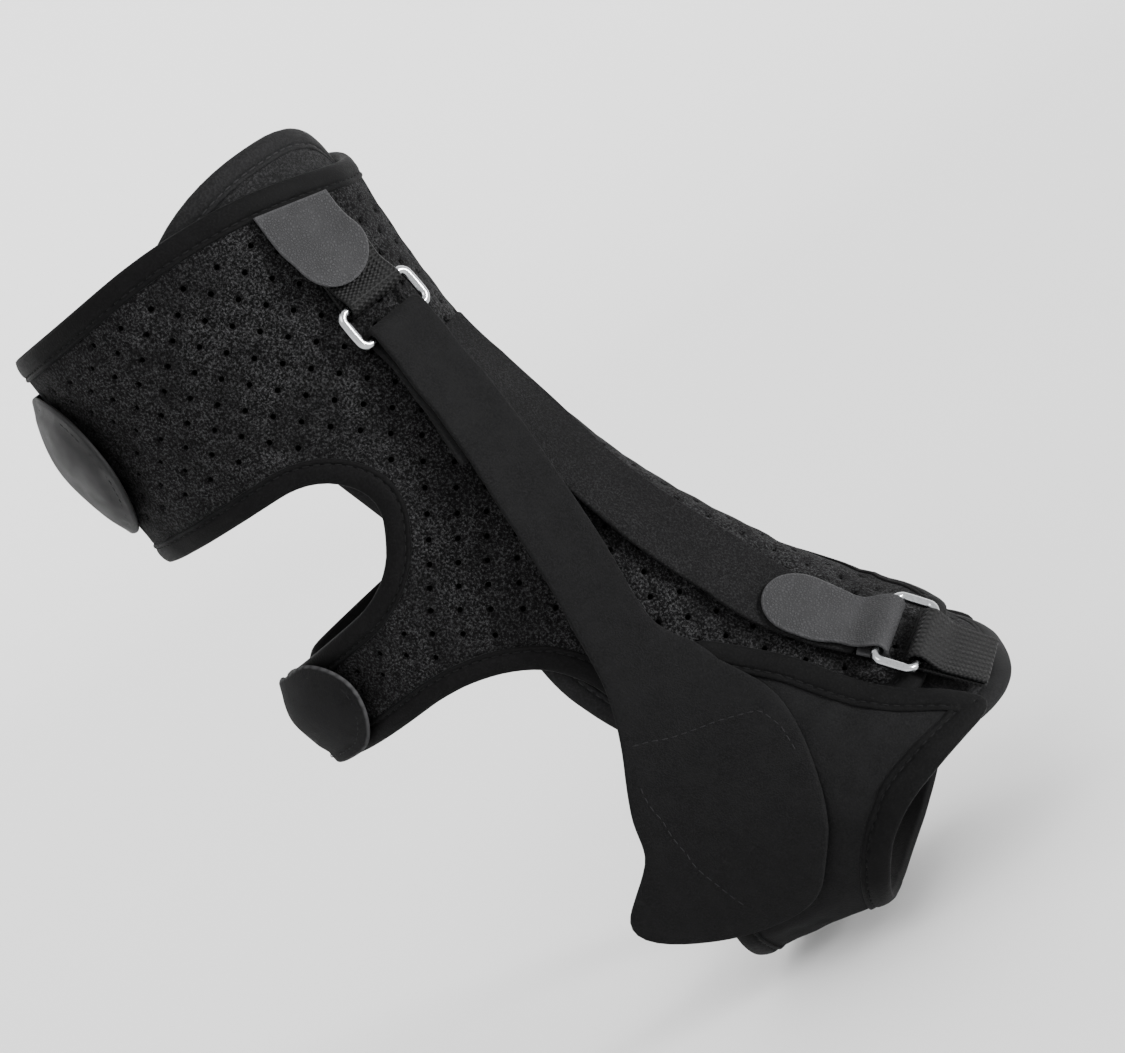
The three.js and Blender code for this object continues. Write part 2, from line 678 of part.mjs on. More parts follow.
// Rings and the webbing that holds them
const WEB_LOW = TAB_IN + WEB_THICKNESS / 2;
const WEB_STEP = WEB_THICKNESS + GAP;
const WEB_TURN = WIRE / 2 + LAYER_GAP + WEB_THICKNESS / 2;
const STRAP_TURN = WIRE / 2 + LAYER_GAP + STRAP_THICKNESS / 2;
const TAB_TURN = WIRE / 2 + LAYER_GAP + TAB_THICKNESS / 2;
const upperBar = [UPPER_BAR.a * FRONT_LENGTH, WEB_LOW + WEB_TURN];
const lowerBar = [upperBar[0] + RING_LENGTH, upperBar[1] + RING_TILT];
const tabBar = [TOE_BAR.a * FRONT_LENGTH, TAB_IN + TAB_THICKNESS / 2 + TAB_TURN];
const toeBar = [tabBar[0] + RING_LENGTH, WEB_LOW + WEB_TURN];

function addWebbing(name, bar, round, half, towards, length) {
  const end = bar[0] - towards * length;
  const neck = bar[0] - towards * neckReach(WEB_TURN, WEB_STEP);
  const line = [
    ...steps(end, neck, EDGE_STEP).map((along) => [along, WEB_LOW]),
    ...turnRound(bar, WEB_TURN, towards),
    ...steps(neck, end, EDGE_STEP).map((along) => [along, WEB_LOW + WEB_STEP]),
  ];
  add(name, strapGeometry(thickLine(line, WEB_THICKNESS), level(round), level(half)), "webbing");
}

function addRing(name, firstBar, secondBar, round, inside) {
  const [a, b] = [place(firstBar[0], round, firstBar[1]), place(secondBar[0], round, secondBar[1])];
  const sideways = acrossAt(level(round), (firstBar[0] + secondBar[0]) / 2);
  const lengthways = b.clone().sub(a).normalize();
  const middle = a.clone().add(b).multiplyScalar(0.5);
  add(name, ringGeometry(middle, sideways, lengthways, inside + WIRE, a.distanceTo(b)), "wire");
}

addWebbing("upper_webbing", upperBar, UPPER_BAR.r, SIDE_STRAP_WIDTH / 2, 1, UPPER_WEB_LENGTH);
addRing("upper_ring", upperBar, lowerBar, UPPER_BAR.r, SIDE_STRAP_WIDTH + 2 * RING_ROOM);
addWebbing("toe_webbing", toeBar, TOE_BAR.r, DORSAL_STRAP_WIDTH / 2, -1, TOE_WEB_LENGTH);
addRing("toe_ring", tabBar, toeBar, TOE_BAR.r, DORSAL_STRAP_WIDTH + 2 * RING_ROOM);

// A strap's half width, drawn in to an oval at one end
function ovalEnd(half, end, towards) {
  return (along) => {
    const d = THREE.MathUtils.clamp((along - end) * towards, 0, half);
    return Math.max(half * OVAL_TIP, Math.sqrt(half * half - (half - d) ** 2));
  };
}

// Tab over the upper webbing's seam: flat on the cuff at its top, raised over the webbing below
const tabTop = UPPER_TAB_TOP.a * FRONT_LENGTH;
const tabEnd = tabTop + UPPER_TAB.length;
const tabFlat = TAB_IN + TAB_THICKNESS / 2;
const tabRaised = WEB_LOW + WEB_STEP + WEB_THICKNESS / 2 + 4 * LAYER_GAP + TAB_THICKNESS / 2;
const webEnd = upperBar[0] - UPPER_WEB_LENGTH;
const upperTabLine = [
  ...steps(tabTop, webEnd - WEB_TURN * 2, EDGE_STEP).map((along) => [along, tabFlat]),
  ...steps(webEnd - WEB_TURN / 2, tabEnd, WEB_TURN).map((along) => [along, tabRaised]),
];
add("upper_tab", strapGeometry(thickLine(upperTabLine, TAB_THICKNESS), level(UPPER_TAB_TOP.r),
  ovalEnd(UPPER_TAB.width / 2, tabEnd, -1)), "hook");

// Side strap: folded back through the upper ring, clear of the shell down to the wrap, and
// widened there into the paddle that closes on the wrap
const sideRound = (along) => lineAt(SIDE_LINE, along, "r");
const sideOut = (along) => PADDLE_IN + STRAP_THICKNESS / 2 + lineAt(SIDE_LINE, along, "lift");
const strapStep = STRAP_THICKNESS + GAP;
const foldNeck = lowerBar[0] + FOLD_NECK;
const foldEnd = lowerBar[0] + RETURN_LENGTH;
const sideEnd = SIDE_STRAP_END * FRONT_LENGTH;
const sideLine = [
  ...steps(foldEnd, foldNeck, EDGE_STEP).map((along) => [along, sideOut(along) - strapStep]),
  ...turnRound(lowerBar, STRAP_TURN, -1).slice(0, -1),
  ...steps(foldNeck, sideEnd, EDGE_STEP).map((along) => [along, sideOut(along)]),
];
const sideSection = thickLine(sideLine, STRAP_THICKNESS);
const sideRibbon = strapGeometry(sideSection, sideRound, level(SIDE_STRAP_WIDTH / 2));
const paddle = sheetGeometry(loopOf(PADDLE_CORNERS), level(PADDLE_IN), level(PADDLE_IN + STRAP_THICKNESS));
add("side_strap", joined(sideRibbon, paddle), "velvet");

// Dorsal strap: from under the side strap down the instep, where a hook tab carries it
// through the toe ring and back on itself
const dorsalRound = (along) => lineAt(DORSAL_LINE, along, "r");
const dorsalOut = (along) => WEB_LOW + lineAt(DORSAL_LINE, along, "lift");
const tabFoot = tabBar[0] - TAB_TURN * 2;
const dorsalLine = steps(DORSAL_STRAP_START * FRONT_LENGTH, tabFoot - GAP, EDGE_STEP / 3)
  .map((along) => [along, dorsalOut(along)]);
add("dorsal_strap", strapGeometry(thickLine(dorsalLine, WEB_THICKNESS), dorsalRound,
  level(DORSAL_STRAP_WIDTH / 2)), "velvet");

const toeTabOut = (along) => dorsalOut(along) + WEB_THICKNESS / 2 + LAYER_GAP + TAB_THICKNESS / 2;
const toeTabEnd = tabBar[0] - TOE_TAB_LENGTH;
const tabNeck = tabBar[0] - neckReach(TAB_TURN, toeTabOut(tabFoot) - tabFlat);
const toeTabLine = [
  [tabFoot, tabFlat],
  ...turnRound(tabBar, TAB_TURN, 1),
  ...steps(tabNeck, toeTabEnd, TAB_TURN).map((along) => [along, toeTabOut(along)]),
];
add("toe_tab", strapGeometry(thickLine(toeTabLine, TAB_THICKNESS), dorsalRound,
  ovalEnd(DORSAL_STRAP_WIDTH / 2, toeTabEnd, 1)), "hook");

export default splint;
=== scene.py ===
"""Night splint for a right foot: what it looks like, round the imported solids.

Lengths are millimetres up to the point where a mesh is made, and metres in the mesh.
A place on a piece of cloth is (x, y, out). y is the distance down the front line from the
cuff's top edge, x the distance round from the front line, positive to the outer side, and
out the height over the last, the form of leg and foot that everything is laid on.
"""

import math

import bpy
import numpy as np
from bpy.props import FloatProperty, PointerProperty
from mathutils import Matrix
from mathutils.geometry import delaunay_2d_cdt


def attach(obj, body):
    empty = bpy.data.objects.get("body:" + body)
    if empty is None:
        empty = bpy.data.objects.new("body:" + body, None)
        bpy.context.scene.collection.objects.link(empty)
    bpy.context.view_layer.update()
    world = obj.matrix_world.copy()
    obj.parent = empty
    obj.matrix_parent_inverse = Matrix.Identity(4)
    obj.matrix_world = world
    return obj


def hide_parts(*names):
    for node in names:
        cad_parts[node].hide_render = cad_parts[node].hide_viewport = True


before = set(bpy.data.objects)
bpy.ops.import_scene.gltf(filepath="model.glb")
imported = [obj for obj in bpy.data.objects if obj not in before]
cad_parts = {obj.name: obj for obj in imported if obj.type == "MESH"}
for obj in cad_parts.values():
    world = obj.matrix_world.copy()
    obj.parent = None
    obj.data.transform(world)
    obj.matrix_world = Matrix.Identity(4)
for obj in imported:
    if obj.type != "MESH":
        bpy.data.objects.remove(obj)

bl_info = {
    "name": "Night splint",
    "version": (1, 0, 0),
    "blender": (4, 5, 0),
    "location": "View3D > Sidebar > Splint",
    "description": "Builds a soft night splint on its packed frame",
    "category": "Object",
}

MM = 0.001
DEGREE = math.pi / 180

# The last
CUFF_TOP = 188
ANKLE_HEIGHT = 80
SHIN_REACH = 66
CALF_REACH = 54
TOE_REACH = 169
CALF_WIDTH = 93
FOOT_WIDTH = 96
RIDGE_SHIFT = 10

# Section by section: front fore and rise, back fore and rise, calf, foot, ridge, square
SECTIONS = np.array([
    (0.97, 1.19, -1.0, 1.19, 1.01, 0, 0, 2),
    (1.0, 1.0, -0.97, 1.0, 1.0, 0, 0, 2),
    (1.015, 0.8, -0.93, 0.8, 0.97, 0, 0, 2),
    (1.06, 0.628, -0.87, 0.596, 0.925, 0, 0, 2),
    (1.137, 0.5, -0.69, 0.383, 0.9, 0, 0.2, 2),
    (1.277, 0.313, -0.61, 0.165, 0.5, 0.38, 0.4, 2),
    (1.403, 0.194, -0.83, -0.32, 0.1, 0.79, 0.6, 2.1),
    (1.519, 0.09, -0.46, -0.925, 0, 0.917, 0.8, 2.3),
    (1.636, 0.003, 0.545, -1.0, 0, 0.948, 0.9, 2.5),
    (1.767, -0.188, 1.116, -1.0, 0, 0.979, 1, 2.5),
    (1.908, -0.403, 1.505, -0.99, 0, 1, 1, 2.5),
    (2.0, -0.54, 1.69, -0.975, 0, 0.979, 1, 2.5),
])

# Layers, as heights over the last. LAYER_GAP is between pieces, GAP between parts of a fold
LAYER_GAP = 0.5
GAP = 0.3
TAPE_THICKNESS = 0.6
PAD_TOP_THICKNESS, PAD_TOE_THICKNESS = 7, 4
SHELL_THICKNESS = 2.8
WRAP_THICKNESS = 2.3
STRAP_THICKNESS = 2
WEB_THICKNESS = 1.4
TAB_THICKNESS = 1.8
SHELL_LOW = LAYER_GAP
SHELL_HIGH = SHELL_LOW + SHELL_THICKNESS + 2 * TAPE_THICKNESS
WRAP_LOW = SHELL_HIGH + LAYER_GAP
WRAP_HIGH = WRAP_LOW + WRAP_THICKNESS + 2 * TAPE_THICKNESS
PADDLE_LOW = WRAP_HIGH + LAYER_GAP
TAB_LOW = SHELL_HIGH + LAYER_GAP
WEB_MID = TAB_LOW + WEB_THICKNESS / 2
WEB_STEP = WEB_THICKNESS + GAP

# Straps, rings and tabs
SIDE_STRAP_WIDTH = 21
DORSAL_STRAP_WIDTH = 22
RETURN_LENGTH = 46
WIRE = 3
RING_LENGTH = 12
RING_CORNER = 2.8
RING_TILT = 1.2
RING_ROOM = 2
UPPER_WEB_LENGTH = 18
TOE_WEB_LENGTH = 21
TOE_TAB_LENGTH = 38
UPPER_TAB_WIDTH = 25
UPPER_TAB_LENGTH = 30
LEAN = 30 * DEGREE

# Sewing: pitch, length and width of the stitches
TAPE_STITCH = (3.3, 2.3, 0.5)
TAB_STITCH = (2.8, 1.9, 0.4)
PADDLE_STITCH = (3.0, 2.1, 0.4)
BOX_STITCH = (2.2, 1.5, 0.4)
# How far inside the tape's outer edge the cloth in it starts, and where the tape is sewn
CLOTH_INSET = 2.2
PAD_INSET = 2.4
TAPE_SEAM = 6.3
SEAM_SINK = 0.3
# The tabs' seam: distance from the edge, depth and width, and how far its thread stands out of it
TAB_SEAM, TAB_SEAM_DEPTH, TAB_SEAM_WIDTH = 3.2, 0.75, 0.8
TAB_THREAD_LIFT = 0.06
# Rows of stitches across a webbing's end, the length they take, and their distance from the end
BOX_ROWS = (1.0, 6.0, 11.0)
BOX_LENGTH, BOX_MARGIN = 15, 3.0
# The toe tab's waist: share of its width, distance from its tip, length
WAIST, WAIST_FROM_TIP, WAIST_LENGTH = 0.12, 27, 5
# Sewn channels round the pad: depth from its edge, how deep they sink. Width of a channel
PAD_CHANNELS = ((11.5, 0.7), (17.0, 0.6))
CHANNEL_WIDTH = 0.9
# The dip round a punched hole: how deep and how wide
DIP_DEPTH, DIP_WIDTH = 0.35, 1.9

# Outlines: share of the front line, degrees round, how far the corner's curve reaches
PAD_CORNERS = [
    (-0.02, -25, 13), (-0.08, 2, 18), (-0.074, 54, 20), (0.0, 88, 18), (0.3, 72, 30),
    (0.6, 71, 20), (0.7, 66, 20), (0.972, 52, 13), (1.012, 18, 14), (0.955, -29, 13),
    (0.6, -34, 30), (0.3, -32, 30),
]
TOP_CORNERS = [
    (-0.016, -110, 30), (-0.042, -60, 24), (0.0, -8, 18), (-0.045, 62, 24), (-0.016, 120, 30),
]
SIDE_CORNERS = [
    (-0.014, 178, 13), (0.268, 178, 13), (0.27, 76, 10), (0.322, 66, 9), (0.4, 86, 13),
    (0.4, 178, 13), (0.515, 178, 13), (0.53, 86, 13), (0.58, 64, 13), (0.7, 62, 20),
    (0.91, 50, 13),
]
WRAP_CORNERS = [
    (0.645, 42, 13), (0.66, 68, 13), (0.72, 84, 18), (0.785, 108, 18), (0.81, 135, 18),
    (0.83, 225, 30), (0.76, 262, 20), (0.66, 292, 13), (0.65, 310, 13), (0.95, 306, 13),
    (0.93, 270, 20), (0.915, 180, 30), (0.92, 108, 20), (0.922, 90, 10), (0.962, 66, 8),
    (0.997, 42, 10), (0.935, 42, 7), (0.87, 46, 14), (0.74, 38, 20),
]
PADDLE_CORNERS = [
    (0.655, 66, 10), (0.725, 89, 6), (0.73, 108, 9), (0.785, 119, 11), (0.865, 116, 12),
    (0.866, 86, 12), (0.82, 63.5, 10), (0.76, 48.5, 10), (0.69, 42, 9),
]
# Shares of the front line where the strap widens on its outer and on its inner side
PADDLE_START = (0.61, 0.625)
# Sewn lines on the paddle: share of the front line, degrees round
STRAP_SEAM = [
    (0.667, 68), (0.681, 64.8), (0.705, 61.4), (0.732, 58.1), (0.765, 55.8), (0.79, 59.9),
    (0.812, 66),
]
PADDLE_SEAM = [(0.691, 73), (0.724, 80.2), (0.751, 90), (0.779, 98.2), (0.805, 107)]
BACK_SEAM, MEDIAL_SPINE, LATERAL_SPINE = 178, -30, 62

# Share of the front line at which the side strap starts to follow the last across its width,
# and over which share it comes to; how far its folded end stands askew; where it ends
BEND_START, BEND_SHARE = 0.6, 0.07
FOLD_SKEW = 2.4
SIDE_STRAP_END = 0.9

# Middle lines of the straps: share of the front line, degrees round, lift
SIDE_LINE = np.array([
    (0.12, 27.5, 2.2), (0.22, 27.5, 2.8), (0.29, 29.7, 3.8), (0.36, 35, 5.2), (0.43, 40.5, 6),
    (0.51, 45.8, 5), (0.57, 49.5, 2.8), (0.62, 52, 0.8), (0.65, 53.5, 0), (0.7, 56, 0),
])
DORSAL_LINE = np.array([
    (0.2, 11, 0), (0.29, 8, 0), (0.4, 15, 0.6), (0.46, 19, 1.2), (0.54, 21, 1.2),
    (0.65, 21.5, 0.6), (0.72, 23.5, 0), (0.78, 25.5, 0), (0.99, 25.5, 0),
])
UPPER_BAR = (0.138, 27.5)
TOE_BAR = (0.85, 25.5)
UPPER_TAB_TOP = (0.0, 31)
DORSAL_STRAP_START = 0.22
CALF_TAB = dict(a=0.13, r=164, height=50, reach=74, crown=6.5)
ANKLE_TAB = dict(a=0.46, r=147.5, height=32, reach=58.5, crown=6)

# Stage, in metres: middle of the view, floor, and the bend by which it goes up into a wall
AIM = np.array([0.068, 0.0, 0.059])
FLOOR_HEIGHT, FLOOR_NEAR, FLOOR_FAR = -0.094, -4.0, 1.6
BEND, WALL_TOP, HALF_WIDTH = 1.4, 6.0, 6.0
WORLD_LIGHT = 1.3
# Lamps: where they stand to the picture's right, top and back, share of the main light, angle
LAMPS = (("key", (1.0, 0.8, 0.75), 1.0, 0.22), ("fill", (-0.8, 0.6, 1.2), 0.22, 0.6))

# A folded tape's section: depth from the edge, side (1 outer face, -1 under face), extra height
TAPE_SECTION = np.array([
    (8.0, 1, -0.4), (7.8, 1, 0.0), (7.1, 1, 0.16), (6.6, 1, -0.05), (6.3, 1, -0.5),
    (6.0, 1, -0.05), (5.3, 1, 0.2), (4.0, 1, 0.3), (2.4, 1, 0.15), (1.2, 1, -0.2),
    (0.45, 0.72, 0), (0.1, 0.3, 0), (0.1, -0.3, 0), (0.45, -0.72, 0), (1.2, -1, 0.15),
    (3.0, -1, 0), (6.0, -1, 0), (7.9, -1, 0.05), (8.0, -1, 0.5), (4.0, -1, 0.6),
    (2.0, -0.5, 0), (2.0, 0.5, 0), (4.0, 1, -0.6), (8.0, 1, -0.6),
])


def fore(share):
    """Millimetres in front of the leg's axis, from a share of shin, toe or calf reach."""
    toe = SHIN_REACH + (share - 1) * (TOE_REACH - SHIN_REACH)
    return np.where(share < 0, share * CALF_REACH, np.where(share < 1, share * SHIN_REACH, toe))


def rise(share):
    """Millimetres over the ankle's centre, from a share of the cuff's or the ankle's height."""
    return share * np.where(share < 0, ANKLE_HEIGHT, CUFF_TOP)


ROWS = np.column_stack([
    fore(SECTIONS[:, 0]), rise(SECTIONS[:, 1]), fore(SECTIONS[:, 2]), rise(SECTIONS[:, 3]),
    SECTIONS[:, 4] * CALF_WIDTH / 2 + SECTIONS[:, 5] * FOOT_WIDTH / 2,
    SECTIONS[:, 6] * RIDGE_SHIFT, SECTIONS[:, 7],
])
_lengths = np.cumsum(np.hypot(*np.diff(ROWS[:, :2], axis=0).T))
STATIONS = np.concatenate([[0], _lengths]) - _lengths[0]
FRONT_LENGTH = STATIONS[-1]
PER_DEGREE = (CALF_WIDTH + FOOT_WIDTH) / 4 * DEGREE


def _slopes():
    """The change of every section value along the front line, a mean of both chords."""
    h = np.diff(STATIONS)[:, None]
    chord = np.diff(ROWS, axis=0) / h
    middle = (chord[:-1] * h[1:] + chord[1:] * h[:-1]) / (h[1:] + h[:-1])
    return np.vstack([chord[:1], middle, chord[-1:]])


SLOPES = _slopes()


def sections_at(y):
    """Section values at distances y: cubic Hermite curves through the rows."""
    i = np.clip(np.searchsorted(STATIONS, y) - 1, 0, len(STATIONS) - 2)
    h = (STATIONS[i + 1] - STATIONS[i])[:, None]
    t = (y - STATIONS[i])[:, None] / h
    t2, t3 = t * t, t ** 3
    return ((2 * t3 - 3 * t2 + 1) * ROWS[i] + (t3 - 2 * t2 + t) * h * SLOPES[i]
            + (3 * t2 - 2 * t3) * ROWS[i + 1] + (t3 - t2) * h * SLOPES[i + 1]).T


def last_point(flat):
    """The last's surface: half an ellipse in front, a squarer superellipse behind.

    With c, s the cosine and sine of the angle round and p = 2 / square behind, 1 in front:
    k = sign(c)|c|^p, side = -half sign(s)|s|^p + ridge max(0, c)^2, and the point goes from
    the back to the front of its section as k goes from -1 to 1.
    """
    fx, fz, bx, bz, half, ridge, square = sections_at(flat[:, 1])
    angle = flat[:, 0] / PER_DEGREE * DEGREE
    c, s = np.cos(angle), np.sin(angle)
    power = np.where(c < 0, 2 / square, 1)
    k = np.sign(c) * np.abs(c) ** power
    side = -half * np.sign(s) * np.abs(s) ** power + ridge * np.maximum(0, c) ** 2
    across = [(front + back) / 2 + (front - back) / 2 * k for front, back in ((fx, bx), (fz, bz))]
    return np.column_stack([across[0], side, across[1]])


def slopes_at(flat, step=0.4):
    """How the last's point moves per millimetre of x and of y, by central differences."""
    ex, ey = np.array([step, 0]), np.array([0, step])
    return ((last_point(flat + ex) - last_point(flat - ex)) / (2 * step),
            (last_point(flat + ey) - last_point(flat - ey)) / (2 * step))


def unit(vectors):
    """Vectors scaled to length 1."""
    return vectors / np.maximum(np.linalg.norm(vectors, axis=-1, keepdims=True), 1e-9)


def lay(flat, out):
    """Points at height out over the last: surface + out * normal, the normal across x down."""
    ex, ey = slopes_at(flat, 1.2)
    return last_point(flat) + unit(np.cross(ex, ey)) * np.broadcast_to(out, len(flat))[:, None]


def runs(line):
    """Length along a line up to each of its points."""
    return np.concatenate([[0], np.cumsum(np.linalg.norm(np.diff(line, axis=0), axis=1))])


def read_at(marks, s, line):
    """A line's points at the lengths in marks, where s is the length at each of its own."""
    return np.column_stack([np.interp(marks, s, column) for column in line.T])


def at(share, degrees):
    """Flat place from a share of the front line and degrees round."""
    return np.array([degrees * PER_DEGREE, share * FRONT_LENGTH])


# Flat outlines

OUTLINE_STEP = 2.4
# Distance between the points of a line to which distances are measured
MARK_STEP = 1.5
# Row distance in a triangular lattice, as a share of its step
ROW_SHARE = 0.866


def rounded(corners, bends, count=8):
    """A closed line through corners, each cut off by a quadratic curve of reach bend.

    The curve at corner B from P to Q is (1-t)^2 P + 2t(1-t) B + t^2 Q.
    """
    before, after = np.roll(corners, 1, 0), np.roll(corners, -1, 0)
    to_before = np.linalg.norm(before - corners, axis=1)
    to_after = np.linalg.norm(after - corners, axis=1)
    p = corners + (before - corners) * (np.minimum(bends, to_before / 2) / to_before)[:, None]
    q = corners + (after - corners) * (np.minimum(bends, to_after / 2) / to_after)[:, None]
    t = np.linspace(0, 1, count)[None, :, None]
    curve = (1 - t) ** 2 * p[:, None] + 2 * t * (1 - t) * corners[:, None] + t ** 2 * q[:, None]
    return curve.reshape(-1, 2)


def even(loop, step):
    """The closed line with its points spaced evenly, about step apart."""
    line = np.vstack([loop, loop[:1]])
    lengths = np.linalg.norm(np.diff(line, axis=0), axis=1)
    line = line[np.concatenate([[True], lengths > 1e-6])]
    s = runs(line)
    count = max(3, int(round(s[-1] / step)))
    return read_at(np.linspace(0, s[-1], count + 1)[:-1], s, line)


def outline(table):
    """An outline table as an even closed line."""
    table = np.array(table, float)
    corners = np.column_stack([table[:, 1] * PER_DEGREE, table[:, 0] * FRONT_LENGTH])
    return even(rounded(corners, table[:, 2]), OUTLINE_STEP)


def metric(flat):
    """E, F and G of the last: the squares and the product of its slopes."""
    ex, ey = slopes_at(flat)
    return (ex * ex).sum(1), (ex * ey).sum(1), (ey * ey).sum(1)


def inwards(loop):
    """At each point of a loop, the flat step that moves 1 mm inwards on the last.

    With the metric E, F, G of the last and the tangent (a, b): n = (-(F a + G b), E a + F b).
    """
    t = unit(np.roll(loop, -1, 0) - np.roll(loop, 1, 0))
    e, f, g = metric(loop)
    n = np.column_stack([-(f * t[:, 0] + g * t[:, 1]), e * t[:, 0] + f * t[:, 1]])
    size = np.sqrt(e * n[:, 0] ** 2 + 2 * f * n[:, 0] * n[:, 1] + g * n[:, 1] ** 2)
    return n / size[:, None]


def level_inwards(loop):
    """At each point of a loop in a flat strap, the step that moves 1 mm inwards."""
    t = unit(np.roll(loop, -1, 0) - np.roll(loop, 1, 0))
    return np.column_stack([-t[:, 1], t[:, 0]])


def inset(loop, depth):
    """The line that runs a depth inside a loop on the last."""
    return loop + inwards(loop) * depth


def inside(points, loop):
    """True for the points inside a closed line, by the number of its edges to their right."""
    x0, y0 = loop.T
    x1, y1 = np.roll(loop, -1, 0).T
    rising = np.where(np.abs(y1 - y0) < 1e-12, 1e-12, y1 - y0)
    out = np.zeros(len(points), bool)
    for start in range(0, len(points), 4000):
        px, py = points[start:start + 4000].T[:, :, None]
        spans = (y0 <= py) != (y1 <= py)
        crosses = spans & (px < x0 + (py - y0) / rising * (x1 - x0))
        out[start:start + 4000] = crosses.sum(1) % 2 == 1
    return out


def nearest(points, marks):
    """For each point, the distance to the nearest mark and the mark's index."""
    distance, index = np.empty(len(points)), np.empty(len(points), int)
    for start in range(0, len(points), 1500):
        block = points[start:start + 1500]
        gaps = ((block[:, None] - marks[None]) ** 2).sum(2)
        index[start:start + 1500] = gaps.argmin(1)
        distance[start:start + 1500] = np.sqrt(gaps.min(1))
    return distance, index


def apart(flat, marks):
    """For each flat place, the distance to the nearest mark, both laid on the last."""
    return nearest(last_point(flat), last_point(marks))[0]


def lattice(loop, step):
    """Points of a triangular lattice over a loop's box."""
    low, high = loop.min(0), loop.max(0)
    across, down = np.arange(low[0], high[0], step), np.arange(low[1], high[1], step * ROW_SHARE)
    x, y = np.meshgrid(across, down)
    x = x + (np.arange(len(down)) % 2)[:, None] * step / 2
    return np.column_stack([x.ravel(), y.ravel()])


def ripple(flat, wave, seed, count=7):
    """Soft unevenness from -1 to 1: a mean of cosines of random direction and phase."""
    rng = np.random.default_rng(seed)
    angle, phase = rng.uniform(0, math.pi, count), rng.uniform(0, 2 * math.pi, count)
    size = 2 * math.pi / (wave * rng.uniform(0.7, 1.5, count))
    ways = np.column_stack([np.cos(angle), np.sin(angle)]) * size[:, None]
    return np.cos(flat @ ways.T + phase).sum(1) / count * 1.6


# Meshes


class Soup:
    """Triangles gathered from several surfaces into one mesh."""

    def __init__(self):
        self.points, self.faces, self.uv, self.edge, self.thread = [], [], [], [], []
        self.count = 0

    def add(self, points, faces, uv, edge, thread=0.0):
        """Adds points in millimetres, triangles, flat places, edge distances and thread marks."""
        self.points.append(points)
        self.faces.append(faces + self.count)
        self.uv.append(uv)
        self.edge.append(np.broadcast_to(np.asarray(edge, float), len(points)))
        self.thread.append(np.broadcast_to(np.asarray(thread, float), len(points)))
        self.count += len(points)

    def build(self, name, material):
        """Makes the smooth mesh object."""
        points = np.concatenate(self.points) * MM
        faces = np.concatenate(self.faces).astype(np.int32)
        mesh = bpy.data.meshes.new(name)
        mesh.vertices.add(len(points))
        mesh.vertices.foreach_set("co", points.astype(np.float32).ravel())
        mesh.loops.add(faces.size)
        mesh.loops.foreach_set("vertex_index", faces.ravel())
        mesh.polygons.add(len(faces))
        mesh.polygons.foreach_set("loop_start", np.arange(0, faces.size, 3, dtype=np.int32))
        mesh.polygons.foreach_set("use_smooth", np.ones(len(faces), bool))
        uv = np.concatenate(self.uv)[faces.ravel()] * MM
        mesh.uv_layers.new(name="Flat").data.foreach_set("uv", uv.astype(np.float32).ravel())
        for label, values in (("edge", self.edge), ("thread", self.thread)):
            layer = mesh.attributes.new(label, "FLOAT", "POINT")
            layer.data.foreach_set("value", np.concatenate(values).astype(np.float32))
        mesh.update(calc_edges=True)
        mesh.materials.append(material)
        piece = bpy.data.objects.new(name, mesh)
        bpy.context.scene.collection.objects.link(piece)
        return piece


def tube_faces(rows, columns, closed=True):
    """Two triangles for each cell of a grid of points round a tube, closed to a ring or open."""
    i = np.arange(rows if closed else rows - 1)[:, None]
    j = np.arange(columns)[None, :]
    a, b = i * columns + j, i * columns + (j + 1) % columns
    c, d = (i + 1) % rows * columns + (j + 1) % columns, (i + 1) % rows * columns + j
    return np.concatenate([np.stack(three, -1).reshape(-1, 3) for three in ((a, b, c), (a, c, d))])


def fill(loops, seeds):
    """Triangles between closed loops and free points; the loops stay edges."""
    points = np.concatenate([*loops, seeds])
    starts = np.cumsum([0] + [len(loop) for loop in loops])
    edges = np.concatenate([
        np.column_stack([np.arange(len(loop)), np.roll(np.arange(len(loop)), -1)]) + start
        for loop, start in zip(loops, starts)
    ])
    made = delaunay_2d_cdt(points.tolist(), edges.tolist(), [], 0, 1e-6, False)
    flat, faces = np.array(made[0])[:, :2], np.array(made[2])
    if len(flat) != len(points) or np.abs(flat - points).max() > 1e-3:
        raise ValueError("outline, rings or holes of a cut cross each other")
    return points, faces


def round_rim(depth, radius):
    """Share of the full thickness at a depth from a round edge: sqrt(1 - (1 - depth/radius)^2)."""
    return np.sqrt(1 - (1 - np.clip(depth / radius, 0, 1)) ** 2)


